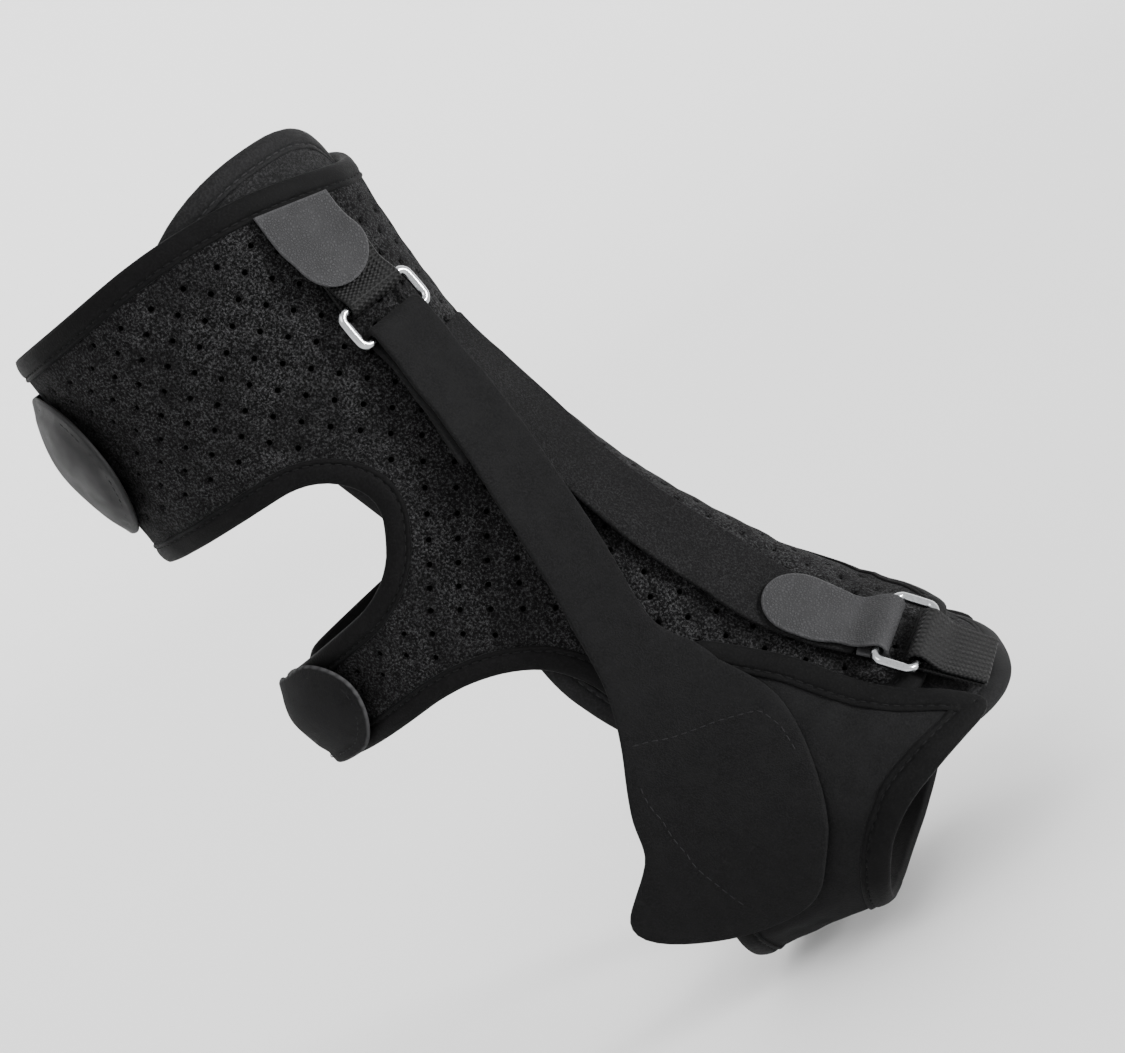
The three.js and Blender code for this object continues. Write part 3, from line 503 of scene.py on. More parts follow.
def cloth(soup, loop, place, half, step, rim=0.9, inward=inwards, holes=()):
    """A closed piece of cloth over a flat outline.

    place(flat, side) gives points, where side goes from -half, under face, to half, outer
    face. The outline has a round rim, where both faces meet at side 0. holes are sets of
    three rings, floor, wall and lip, of the blind holes punched into the outer face.
    """
    step_in = inward(loop)
    depths = np.array([0.0, 0.12, 0.42, rim])
    rings = [loop + step_in * depth for depth in depths]
    loops, share = list(rings), [np.full(len(loop), v) for v in round_rim(depths, rim)]
    punched = np.zeros(len(loop) * len(rings))
    if len(holes):
        loops += [ring for rings_of_one in holes for ring in rings_of_one]
        levels = np.repeat(np.tile((-0.5, 0.3, 1.0), len(holes)), len(holes[0][0]))
        share.append(levels)
        punched = np.concatenate([punched, levels < 0.9])
    marks = np.concatenate(loops)
    seeds = lattice(loop, step)
    seeds = seeds[inside(seeds, rings[-1])]
    seeds = seeds[nearest(seeds, marks)[0] > 0.62 * step]
    flat, faces = fill(loops, seeds)
    share = np.concatenate([*share, np.ones(len(seeds))])
    punched = np.concatenate([punched, np.zeros(len(seeds))]) > 0
    faces = faces[inside(flat[faces].mean(1), loop)]
    under = (share != 0) | punched
    lower = np.where(under, len(flat) + np.cumsum(under) - 1, np.arange(len(flat)))
    both = np.concatenate([flat, flat[under]])
    side = np.concatenate([share, -np.where(punched, 1, share)[under]]) * half
    distance = nearest(flat, even(loop, 1.2))[0]
    # The punched points have edge -1, which the shell's material paints near-black as the shade
    # inside a hole
    edge = np.concatenate([np.where(punched, -1, distance), distance[under]])
    soup.add(place(both, side), np.concatenate([faces, lower[faces][:, ::-1]]), both, edge)


# A stitch's rod: share of its length and share of its radius, with SIDES points round it
ROD = np.array([(-0.5, 0.02), (-0.42, 0.7), (-0.2, 1), (0.2, 1), (0.42, 0.7), (0.5, 0.02)])
SIDES = 6
FAR_FROM_EDGE = 9.0


def stitch_line(soup, points, up, stitch, closed=True):
    """A row of thread stitches along a line of points, each a short rounded rod."""
    pitch, length, width = stitch
    if closed:
        points, up = np.vstack([points, points[:1]]), np.vstack([up, up[:1]])
    s = runs(points)
    starts = np.arange(pitch / 2, s[-1] - length, pitch)
    a, b = read_at(starts, s, points), read_at(starts + length, s, points)
    t, n = unit(b - a), unit(read_at(starts + length / 2, s, up))
    side = unit(np.cross(n, t))
    n = np.cross(t, side)
    turn = np.linspace(0, 2 * math.pi, SIDES, endpoint=False)
    fat = ROD[:, 1] * width / 2
    local = np.column_stack([
        np.repeat(ROD[:, 0] * length, SIDES),
        np.outer(fat, np.cos(turn)).ravel(), np.outer(fat, np.sin(turn)).ravel(),
    ])
    made = (a + b)[:, None] / 2 + sum(
        local[None, :, k:k + 1] * way[:, None] for k, way in enumerate((t, side, n)))
    size = len(local)
    cap = np.array([(0, k, k + 1) for k in range(1, SIDES - 1)])
    rod = np.concatenate([
        tube_faces(len(ROD), SIDES, False)[:, ::-1], cap, (cap + size - SIDES)[:, ::-1]])
    faces = (rod[None] + np.arange(len(starts))[:, None, None] * size).reshape(-1, 3)
    soup.add(made.reshape(-1, 3), faces, np.zeros((len(starts) * size, 2)), FAR_FROM_EDGE, 1.0)


def pucker(flat, loop, size, wave, seed):
    """Small gathers along a sewn edge: size exp(-(d - 9)/9) sin(2 pi s / wave + drift).

    d is the distance from the edge, s the length along it, and drift two slower sines of s.
    """
    distance, index = nearest(flat, even(loop, MARK_STEP))
    turn = 2 * math.pi * index * MARK_STEP
    drift = 2.1 * np.sin(turn / 67 + seed) + 1.3 * np.sin(turn / 29 + 2 * seed)
    fade = np.exp(-np.maximum(distance - 9, 0) / 9) * np.clip(distance / 7, 0.25, 1)
    return size * fade * np.sin(turn / wave + drift)


def tape(name, loop, low, high, material, swell):
    """The folded tape round a loop, swept along it, with its row of stitches.

    A section point (d, side, h) lies at loop + d * inwards, and at the height
    mid + side * half + h + swell, mid and half being those of the cloth's edge.
    """
    step_in = inwards(loop)
    depth, side, extra = TAPE_SECTION.T
    flat = loop[:, None] + step_in[:, None] * depth[None, :, None]
    rows, columns = flat.shape[:2]
    flat = flat.reshape(-1, 2)
    bottom, top = low(flat[:, 1]), high(flat[:, 1])
    middle, half = (bottom + top) / 2, (top - bottom) / 2
    out = middle + half * np.tile(side, rows) + np.tile(extra, rows) + swell(flat)
    soup = Soup()
    soup.add(lay(flat, out), tube_faces(rows, columns), flat, np.tile(depth, rows))
    sewn = loop + step_in * TAPE_SEAM
    heights = high(sewn[:, 1]) - SEAM_SINK + swell(sewn)
    line = lay(sewn, heights)
    stitch_line(soup, line, lay(sewn, heights + 1) - line, TAPE_STITCH)
    return soup.build(name, material)


def arc_round(flat):
    """Turns (distance round on the last, y) into flat places, by the arc from the front line."""
    ways = np.linspace(-190, 190, 381) * PER_DEGREE
    out = np.empty_like(flat)
    for y in np.unique(flat[:, 1]):
        own = flat[:, 1] == y
        line = last_point(np.column_stack([ways, np.full(len(ways), y)]))
        s = runs(line)
        s -= np.interp(0, ways, s)
        out[own] = np.column_stack([np.interp(flat[own, 0], s, ways), flat[own, 1]])
    return out


def perforations(loop, pitch, row, margin):
    """Middles of the punched holes: staggered rows, kept margin inside the outline."""
    y = np.arange(-40, 280, row)
    x = np.arange(-230, 230, pitch)
    grid_x, grid_y = np.meshgrid(x, y)
    grid_x = grid_x + (np.arange(len(y)) % 2)[:, None] * pitch / 2
    flat = arc_round(np.column_stack([grid_x.ravel(), grid_y.ravel()]))
    flat = flat[inside(flat, loop)]
    return flat[apart(flat, even(loop, MARK_STEP)) > margin]


def rings_round(middles, radii, sides):
    """Circles on the last round flat places: middle + M^(-1/2) (cos, sin) r, M its metric."""
    e, f, g = metric(middles)
    values, vectors = np.linalg.eigh(np.stack([np.stack([e, f], -1), np.stack([f, g], -1)], -2))
    root = np.einsum("nij,nj,nkj->nik", vectors, values ** -0.5, vectors)
    turn = np.linspace(0, 2 * math.pi, sides, endpoint=False)
    circle = np.column_stack([np.cos(turn), np.sin(turn)])
    steps = np.einsum("nij,kj->nki", root, circle)
    return [middles[:, None] + steps * radius for radius in radii]


# Straps: flat places are (across, distance along the strap)

# How far either way a strap's normal, and its direction across, are measured
NORMAL_REACH = 0.4
ACROSS_REACH = 11.0


class Path:
    """A strap's middle line in its side view: (y, out) by distance along the strap.

    smooth times, every corner is cut off at a quarter of both lines that meet in it.
    """

    def __init__(self, line, round_at, smooth=3):
        line = np.array(line, float)
        for _ in range(smooth):
            cut = np.empty((2 * len(line) - 2, 2))
            cut[0::2] = line[:-1] * 0.75 + line[1:] * 0.25
            cut[1::2] = line[:-1] * 0.25 + line[1:] * 0.75
            line = np.vstack([line[:1], cut, line[-1:]])
        self.s, self.line, self.round_at = runs(line), line, round_at

    def read(self, s):
        """(y, out) of the line at distance s."""
        return read_at(s, self.s, self.line)

    def spot(self, flat, side):
        """(y, out) beside the line: line + side * normal."""
        s = flat[:, 1]
        t = unit(self.read(s + NORMAL_REACH) - self.read(s - NORMAL_REACH))
        normal = np.column_stack([-t[:, 1], t[:, 0]])
        return self.read(s) + normal * np.broadcast_to(side, len(flat))[:, None]

    def level(self, flat, side):
        """Points of a strap that is level across: middle + x * across."""
        spot = self.spot(flat, side)
        middle = np.column_stack([self.round_at(spot[:, 0]), spot[:, 0]])
        step = np.array([0, ACROSS_REACH])
        up, down = middle + step, middle - step
        up[:, 0], down[:, 0] = self.round_at(up[:, 1]), self.round_at(down[:, 1])
        along = last_point(up) - last_point(down)
        skin = lay(middle, 1) - last_point(middle)
        across = unit(np.cross(along, skin))
        return lay(middle, spot[:, 1]) + across * flat[:, :1]

    def bent(self, flat, side):
        """Points of a strap that follows the last across its width: x / stretch to the side."""
        spot = self.spot(flat, side)
        x = self.round_at(spot[:, 0]) + flat[:, 0] / stretch(self.round_at, spot[:, 0])
        return lay(np.column_stack([x, spot[:, 0]]), spot[:, 1])


def stretch(round_at, y):
    """Millimetres on the last for one flat millimetre across a strap's middle line."""
    return np.linalg.norm(slopes_at(np.column_stack([round_at(y), y]), 1.0)[0], axis=1)


def reader(table, column):
    """Straight-line reading of a strap's table by y."""
    return lambda y: np.interp(y, table[:, 0] * FRONT_LENGTH, table[:, column])


def turn_round(bar, radius, towards):
    """Half a turn and the lean round a bar at (y, out), from under it to over it."""
    angle = -math.pi / 2 + (math.pi + LEAN) * np.linspace(0, 1, 12)
    ways = np.column_stack([towards * np.cos(angle), np.sin(angle)])
    return bar + radius * ways


def neck_reach(radius, height):
    """How far behind a bar the leaning layer comes down to a height over the lower layer."""
    drop = radius + radius * math.cos(LEAN) - height
    return radius * math.sin(LEAN) + drop / math.tan(LEAN)


def square_strip(width, length, bend=1.0):
    """A strap's flat outline with small round corners."""
    half = width / 2
    corners = np.array([(-half, 0), (half, 0), (half, length), (-half, length)])
    return even(rounded(corners, np.full(4, bend), 4), STRIP_STEP)


def oval_strip(width, start, length, tip, slant=0.0):
    """A strap's flat outline with a slanted start and an oval end of reach tip."""
    half, shoulder = width / 2, length - tip
    t = np.linspace(0, math.pi, 26)
    oval = np.column_stack([half * np.cos(t), shoulder + tip * np.sin(t)])
    return even(np.vstack([[(-half, start + slant), (half, start - slant)], oval]), STRIP_STEP)


STRIP_STEP = 1.6
# Radius of the middle of tab, webbing and strap where they turn round a bar
TAB_TURN, WEB_TURN, STRAP_TURN = (
    WIRE / 2 + LAYER_GAP + thick / 2 for thick in (TAB_THICKNESS, WEB_THICKNESS, STRAP_THICKNESS))
# Middles of the ring bars: distance down the front line, height over the last
UPPER_BAR_AT = np.array([UPPER_BAR[0] * FRONT_LENGTH, WEB_MID + WEB_TURN])
LOWER_BAR_AT = UPPER_BAR_AT + [RING_LENGTH, RING_TILT]
TAB_BAR_AT = np.array([TOE_BAR[0] * FRONT_LENGTH, TAB_LOW + TAB_THICKNESS / 2 + TAB_TURN])
TOE_BAR_AT = np.array([TAB_BAR_AT[0] + RING_LENGTH, WEB_MID + WEB_TURN])


# Materials

# Specular level of cloth, where a smooth plastic has 0.5
SHINE = 0.05
# Near-black painted shade for the floors and walls of the punched holes
HOLE_SHADE = 0.0004


class Shader:
    """A material's node tree, built by short calls."""

    def __init__(self, name):
        self.material = bpy.data.materials.new(name)
        self.material.use_nodes = True
        self.tree = self.material.node_tree
        self.tree.nodes.clear()
        self.bsdf = self.node("ShaderNodeBsdfPrincipled")
        out = self.node("ShaderNodeOutputMaterial")
        self.link(self.bsdf.outputs[0], out.inputs[0])
        self.place = self.node("ShaderNodeTexCoord").outputs["Object"]
        self.flat = self.node("ShaderNodeUVMap", uv_map="Flat").outputs[0]

    def link(self, source, target):
        """Joins two sockets."""
        self.tree.links.new(source, target)

    def node(self, kind, **settings):
        """A node with its settings."""
        made = self.tree.nodes.new(kind)
        for key, value in settings.items():
            setattr(made, key, value)
        return made

    def put(self, socket, value):
        """Links a socket's output, or sets a constant."""
        if isinstance(value, bpy.types.NodeSocket):
            self.link(value, socket)
        else:
            socket.default_value = value

    def fed(self, kind, values, **settings):
        """A node with the sockets named or numbered in values linked or set."""
        made = self.node(kind, **settings)
        for key, value in values.items():
            self.put(made.inputs[key], value)
        return made

    def math(self, kind, a, b=0.5):
        """A math node's output."""
        return self.fed("ShaderNodeMath", {0: a, 1: b}, operation=kind).outputs[0]

    def noise(self, scale, detail=3.0, rough=0.55):
        """Noise from 0 to 1; scale is in waves per metre."""
        values = {"Vector": self.place, "Scale": scale, "Detail": detail, "Roughness": rough}
        return self.fed("ShaderNodeTexNoise", values).outputs[0]

    def ramp(self, value, low, high, to_low=0.0, to_high=1.0):
        """A value carried from one span to another and held at its ends."""
        made = self.fed("ShaderNodeMapRange", {
            "Value": value, "From Min": low, "From Max": high, "To Min": to_low, "To Max": to_high,
        }, interpolation_type="SMOOTHSTEP")
        return made.outputs[0]

    def mix(self, share, a, b):
        """A colour between a and b, the colour sockets of a mix node being 6 and 7, and out 2."""
        return self.fed("ShaderNodeMix", {0: share, 6: a, 7: b}, data_type="RGBA").outputs[2]

    def tones(self, value, low, high, dark, light):
        """A grey between dark and light, by where a value lies between low and high."""
        return self.mix(self.ramp(value, low, high), grey(dark), grey(light))

    def sewn(self, tone, light):
        """A tone with paler thread where the mesh marks stitches."""
        return self.mix(self.attribute("thread"), tone, grey(light))

    def attribute(self, name):
        """A number stored on the mesh."""
        return self.node("ShaderNodeAttribute", attribute_name=name).outputs["Fac"]

    def bump(self, height, distance, strength=1.0, before=None):
        """A bump of a height in metres, on an earlier bump if given."""
        values = {"Height": height, "Distance": distance, "Strength": strength}
        made = self.fed("ShaderNodeBump", values)
        if before is not None:
            self.link(before, made.inputs["Normal"])
        return made.outputs[0]

    def finish(self, colour, roughness, normal=None, shine=SHINE, sheen=(0, 0.5), metallic=0):
        """Sets the surface, with sheen as (weight, roughness), and returns the material."""
        for key, value in (
                ("Base Color", colour), ("Roughness", roughness), ("Specular IOR Level", shine),
                ("Sheen Weight", sheen[0]), ("Sheen Roughness", sheen[1]), ("Metallic", metallic)):
            self.put(self.bsdf.inputs[key], value)
        if normal is not None:
            self.link(normal, self.bsdf.inputs["Normal"])
        return self.material


def grey(value, blue=1.03):
    """A near-neutral colour."""
    return (value, value, value * blue, 1)


def fuzzy_knit(name, dark, light, grain, sheen):
    """Brushed knit: two grains of noise for fibre and loop, paler fibre ends, soft sheen."""
    s = Shader(name)
    fibre, loops, drift = s.noise(3400, 3, 0.7), s.noise(grain, 3, 0.75), s.noise(60, 2)
    specks = s.math("MULTIPLY", s.ramp(loops, 0.43, 0.68), s.ramp(fibre, 0.3, 0.65, 0.1, 1.0))
    tone = s.mix(specks, grey(dark), grey(light))
    tone = s.mix(s.ramp(drift, 0.35, 0.7, 0, 0.45), tone, grey(dark))
    # Painted shade: near-black where the mesh marks a punched hole with edge -1
    tone = s.mix(s.ramp(s.attribute("edge"), -0.9, -0.1), grey(HOLE_SHADE), tone)
    normal = s.bump(fibre, 0.0003, 0.6, s.bump(loops, 0.0007, 0.8))
    return s.finish(tone, s.ramp(loops, 0.3, 0.7, 0.95, 0.78), normal, sheen=(sheen, 0.5))


def velvet(name, value, cut=0.0):
    """Short even pile: fine noise, a sheen, and a share of paler foam at the cut edge."""
    s = Shader(name)
    pile, nap = s.noise(1900, 2, 0.6), s.noise(140, 3)
    tone = s.tones(pile, 0.3, 0.75, value * 0.7, value * 1.35)
    tone = s.sewn(s.mix(s.ramp(nap, 0.35, 0.7, 0, 0.4), tone, grey(value * 1.3)), value * 2.4)
    tone = s.mix(s.ramp(s.attribute("edge"), 0.2, 0.6, cut, 0.0), tone, grey(value * 7))
    normal = s.bump(nap, 0.0008, 0.3, s.bump(pile, 0.00035, 0.7))
    return s.finish(tone, 0.9, normal, sheen=(0.01, 0.45))


def woven_tape(name, value):
    """Tape: a fine weave and a slight sheen; thread stitches stand out paler."""
    s = Shader(name)
    weave = s.noise(1500, 2, 0.5)
    tone = s.sewn(s.tones(weave, 0.35, 0.7, value * 0.75, value * 1.4), value * 2.4)
    rough = s.ramp(weave, 0.3, 0.7, 0.62, 0.78)
    return s.finish(tone, rough, s.bump(weave, 0.00025, 0.6), sheen=(0.015, 0.4))


def webbing(name, value):
    """Narrow webbing: ribs along it every 2.1 mm, crossed by picks every 1.3 mm, with painted
    shade in the grooves and painted highlights on the rib tops.
    """
    s = Shader(name)
    split = s.fed("ShaderNodeSeparateXYZ", {0: s.flat})
    rib, pick = (
        s.math("SINE", s.math("MULTIPLY", split.outputs[k], 2 * math.pi / pitch))
        for k, pitch in enumerate((2.1 * MM, 1.3 * MM)))
    cross = s.math("MULTIPLY", s.math("MULTIPLY", rib, pick), 0.4)
    height = s.math("ADD", s.math("MULTIPLY", rib, 0.45), cross)
    # Painted shade and highlight: the tone follows the weave's height, darker in the grooves and
    # paler on the rib tops
    tone = s.tones(height, -0.6, 0.8, value * 0.3, value * 1.6)
    normal = s.bump(s.noise(2200, 2), 0.0002, 0.5, s.bump(height, 0.00035, 0.9))
    return s.finish(tone, 0.55, normal, 0.15)


def hook_tape(name, value):
    """Moulded hook tape with a fine leathery grain and a paler cut edge."""
    s = Shader(name)
    cells = s.fed(
        "ShaderNodeTexVoronoi", {"Vector": s.place, "Scale": 1150}, feature="DISTANCE_TO_EDGE")
    grain = s.ramp(cells.outputs["Distance"], 0.0, 0.35)
    tone = s.mix(grain, grey(value * 0.62, 1.05), grey(value * 1.12, 1.05))
    tone = s.mix(s.ramp(s.noise(90, 3), 0.4, 0.7, 0, 0.35), tone, grey(value * 1.15, 1.05))
    tone = s.mix(s.ramp(s.attribute("edge"), 0.2, 1.0, 0.6, 0.0), tone, grey(value * 1.9, 1.04))
    return s.finish(tone, 0.66, s.bump(grain, 0.00022, 0.8), 0.14)


def satin_foam(name, value):
    """Smooth laminated foam with a soft gloss."""
    s = Shader(name)
    knit = s.noise(2100, 2, 0.6)
    tone = s.sewn(s.tones(knit, 0.35, 0.7, value * 0.8, value * 1.3), value * 2.2)
    rough = s.ramp(s.noise(70, 2), 0.3, 0.7, 0.5, 0.66)
    return s.finish(tone, rough, s.bump(knit, 0.0002, 0.5), 0.16)


def chrome_wire(name):
    """Plated wire with faint handling marks."""
    s = Shader(name)
    marks = s.noise(900, 4, 0.7)
    tone = s.mix(s.ramp(marks, 0.4, 0.8), (0.42, 0.43, 0.44, 1), (0.3, 0.31, 0.32, 1))
    rough = s.ramp(marks, 0.3, 0.8, 0.12, 0.3)
    return s.finish(tone, rough, s.bump(marks, 0.00006, 0.5), 0.5, metallic=1)


# Properties


class SplintCloth(bpy.types.PropertyGroup):
    """Sizes of the cloth's detail"""

    hole_radius: FloatProperty(
        name="Hole radius", description="Radius of a punched hole", default=0.85 * MM,
        unit="LENGTH")
    hole_pitch: FloatProperty(
        name="Hole pitch", description="Distance between holes in a row", default=11.3 * MM,
        unit="LENGTH")
    hole_row: FloatProperty(
        name="Row pitch", description="Distance between rows of holes", default=5.65 * MM,
        unit="LENGTH")
    gather: FloatProperty(
        name="Gathers", description="Height of the gathers along sewn edges", default=0.34 * MM,
        unit="LENGTH")
    fineness: FloatProperty(
        name="Fineness", description="Distance between the shell's points", default=3.6 * MM,
        unit="LENGTH")


class SplintColours(bpy.types.PropertyGroup):
    """Reflectance of the cloths"""

    knit: FloatProperty(
        name="Knit", description="Perforated shell", default=0.0026, subtype="FACTOR")
    fibre: FloatProperty(
        name="Fibre", description="Its fibre ends", default=0.052, subtype="FACTOR")
    pile: FloatProperty(
        name="Pile", description="Side strap and paddle", default=0.007, subtype="FACTOR")
    tape: FloatProperty(
        name="Tape", description="Bindings", default=0.0036, subtype="FACTOR")
    hook: FloatProperty(
        name="Hook tape", description="Grey tabs", default=0.028, subtype="FACTOR")


class SplintView(bpy.types.PropertyGroup):
    """The photograph's view and the studio light"""

    azimuth: FloatProperty(
        name="Azimuth", description="Turn round the leg", default=24 * DEGREE, subtype="ANGLE")
    elevation: FloatProperty(
        name="Elevation", description="Height over the floor", default=9 * DEGREE, subtype="ANGLE")
    roll: FloatProperty(
        name="Roll", description="Turn of the picture", default=32.4 * DEGREE, subtype="ANGLE")
    distance: FloatProperty(
        name="Distance", description="From the middle of the view", default=0.8, unit="LENGTH")
    lens: FloatProperty(
        name="Lens", description="Focal length on a 36 mm sensor, in millimetres", default=82.56)
    key: FloatProperty(name="Key", description="Strength of the main light, in W/m2", default=5.5)


# Pieces

# A sheet's area may not be under this share of its box
LEAST_AREA = 0.3001


def keep(piece, node):
    """Ties a piece to the frame."""
    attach(piece, "root")
    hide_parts(node)
    return piece


def cloth_facts(loop):
    """Works out the area, measured on the last, and the flat size of a cloth piece cut to a flat
    outline.
    """
    cell = 3.0
    cells = lattice(loop, cell)
    ex, ey = slopes_at(cells[inside(cells, loop)])
    area = np.linalg.norm(np.cross(ex, ey), axis=1).sum() * cell ** 2 * ROW_SHARE * MM * MM
    width, length = (loop.max(0) - loop.min(0)) * MM
    scale = math.sqrt(max(1.0, area / (width * length)))
    size = (width * scale, length * scale)
    area = max(area, LEAST_AREA * size[0] * size[1])


def strap_piece(name, node, material, path, loop, form, place=None,
                sew=None):
    """Makes a strap. form: half its thickness, distance of its points, its rim."""
    soup = Soup()
    cloth(soup, loop, place or path.level, *form, level_inwards)
    if sew:
        sew(soup)
    piece = keep(soup.build(name, material), node)


def level(height):
    """A height that is the same all along."""
    return lambda y: np.full_like(y, height)


def shell_loop():
    """The shell's outline: top edge, outer side, and the inner side as its mirror image."""
    scale = (BACK_SEAM + MEDIAL_SPINE) / (BACK_SEAM - LATERAL_SPINE)
    inner = [(a, MEDIAL_SPINE - (r - LATERAL_SPINE) * scale, bend) for a, r, bend in SIDE_CORNERS]
    return outline([*TOP_CORNERS, *SIDE_CORNERS, *inner[::-1]])


def sink(flat, middles):
    """The cloth dips round a punched hole: DIP_DEPTH exp(-(d / DIP_WIDTH)^2)."""
    return DIP_DEPTH * np.exp(-(apart(flat, middles) / DIP_WIDTH) ** 2)


def taut_cloth(context, name, nodes, loop, bottom, top, material, edge_name, gathers, bulges,
               margin, dip, step, punched):
    """A taut cloth with holes or dimples in staggered rows, and its tape.

    gathers are the wave and seed of the gathers, and bulges the height, wave and seed of the
    ripple, which is calm at the edge.
    """
    detail, tones = context.scene.splint_cloth, context.scene.splint_colours
    low, high = bottom + TAPE_THICKNESS, top - TAPE_THICKNESS
    radius = detail.hole_radius / MM
    middles = perforations(loop, detail.hole_pitch / MM, detail.hole_row / MM, margin)

    def swell(flat):
        calm = np.clip(nearest(flat, loop)[0] / 12, 0, 1)
        return (pucker(flat, loop, detail.gather / MM, *gathers)
                + bulges[0] * ripple(flat, *bulges[1:]) * calm)

    def place(flat, side):
        return lay(flat, (low + high) / 2 + side + swell(flat) - dip * sink(flat, middles))

    holes = ()
    if punched:
        holes = list(zip(*rings_round(middles, (radius * 0.9, radius, radius + 0.4), 8)))
    soup = Soup()
    cloth(soup, inset(loop, CLOTH_INSET), place, (high - low) / 2, step, holes=holes)
    body = keep(soup.build(name + "_cloth", material), nodes[0])
    weave = woven_tape(edge_name, tones.tape)
    edge = tape(name + "_tape", loop, level(bottom), level(top), weave, swell)
    keep(edge, nodes[1])
    cloth_facts(loop)


class SPLINT_OT_shell(bpy.types.Operator):
    """Cuff, spine and ankle strap in one perforated cloth, with its tape"""

    bl_idname = "splint.shell"
    bl_label = "Shell"

    def execute(self, context):
        detail, tones = context.scene.splint_cloth, context.scene.splint_colours
        taut_cloth(
            context, "shell", ("shell", "shell_binding"), shell_loop(), SHELL_LOW, SHELL_HIGH,
            fuzzy_knit("perforated_knit", tones.knit, tones.fibre, 1300, 0.008), "edge_tape",
            (17, 1.0), (0.25, 46, 5), 11.5, 1.0, detail.fineness / MM, True)
        return {"FINISHED"}


class SPLINT_OT_wrap(bpy.types.Operator):
    """Foot wrap round sole and midfoot, with faint dimples, and its tape"""

    bl_idname = "splint.wrap"
    bl_label = "Foot wrap"

    def execute(self, context):
        tones = context.scene.splint_colours
        taut_cloth(
            context, "wrap", ("foot_wrap", "wrap_binding"), outline(WRAP_CORNERS), WRAP_LOW,
            WRAP_HIGH, velvet("wrap_pile", tones.pile * 1.1), "wrap_edge_tape",
            (21, 3.1), (0.3, 40, 8), 12.5, 2.0, 2.2, False)
        return {"FINISHED"}


class SPLINT_OT_pad(bpy.types.Operator):
    """Padded tongue under the shell, with its tape and the two sewn channels at its arch"""

    bl_idname = "splint.pad"
    bl_label = "Dorsal pad"

    def execute(self, context):
        detail, tones = context.scene.splint_cloth, context.scene.splint_colours
        loop = outline(PAD_CORNERS)
        thinning = PAD_TOP_THICKNESS - PAD_TOE_THICKNESS
        thickness = lambda y: PAD_TOP_THICKNESS - thinning * np.clip(y / FRONT_LENGTH, 0, 1)

        def place(flat, side):
            distance = apart(flat, even(loop, MARK_STEP))
            full = np.clip((distance - 2) / 9, 0, 1) ** 0.5
            half = thickness(flat[:, 1]) * (0.3 + 0.2 * full)
            channel = sum(sunk * np.exp(-((distance - depth) / CHANNEL_WIDTH) ** 2)
                          for depth, sunk in PAD_CHANNELS)
            middle = -GAP - thickness(flat[:, 1]) * 0.5
            return lay(flat, middle + side * (half - channel * (side > 0)))

        soup = Soup()
        cloth(soup, inset(loop, PAD_INSET), place, 1.0, 2.6, 1.6)
        for depth, _ in PAD_CHANNELS:
            line = inset(loop, depth)
            up = lay(line, 1) - last_point(line)
            stitch_line(soup, place(line, np.ones(len(line))), up, TAPE_STITCH)
        lining = fuzzy_knit("brushed_lining", tones.knit * 3.4, tones.fibre * 0.8, 1300, 0.012)
        body = keep(soup.build("pad_cloth", lining), "dorsal_pad")
        weave = woven_tape("pad_edge_tape", tones.tape * 2.6)
        keep(tape("pad_tape", loop, lambda y: -GAP - thickness(y) * 0.8, level(-GAP), weave,
                  lambda flat: pucker(flat, loop, detail.gather / MM, 19, 2.3) * 0.6),
             "pad_binding")
        return {"FINISHED"}


class SPLINT_OT_back_tabs(bpy.types.Operator):
    """The tabs that close cuff and ankle strap at the back"""

    bl_idname = "splint.back_tabs"
    bl_label = "Back tabs"

    def execute(self, context):
        tones = context.scene.splint_colours
        for node, tab, material in (
                ("calf_tab", CALF_TAB, satin_foam("tab_foam", tones.pile)),
                ("ankle_tab", ANKLE_TAB, velvet("tab_pile", tones.pile, 0.8))):
            r = tab["height"] / 2
            turn = np.linspace(-math.pi / 2, math.pi / 2, 24)
            right = np.column_stack([tab["reach"] / 2 - r + r * np.cos(turn), r * np.sin(turn)])
            middle = at(tab["a"], tab["r"])
            loop = even(np.vstack([right, -right]), 1.8) + middle
            half = TAB_THICKNESS / 2

            def place(flat, side):
                t = (flat[:, 1] - middle[1]) / r
                distance = nearest(flat, even(loop, 1.2))[0]
                groove = np.exp(-((distance - TAB_SEAM) / TAB_SEAM_WIDTH) ** 2)
                seam = TAB_SEAM_DEPTH * groove * (side > 0)
                crown = tab["crown"] * np.maximum(0, 1 - t * t)
                return lay(flat, TAB_LOW + half + crown + side - seam + 0.2 * ripple(flat, 24, 4))

            soup = Soup()
            cloth(soup, loop, place, half, 2.4, 0.8)
            line = inset(loop, TAB_SEAM)
            up = lay(line, 1) - last_point(line)
            points = place(line, np.full(len(line), half)) + unit(up) * TAB_THREAD_LIFT
            stitch_line(soup, points, up, TAB_STITCH)
            piece = keep(soup.build(node + "_cloth", material), node)
            cloth_facts(loop)
        return {"FINISHED"}


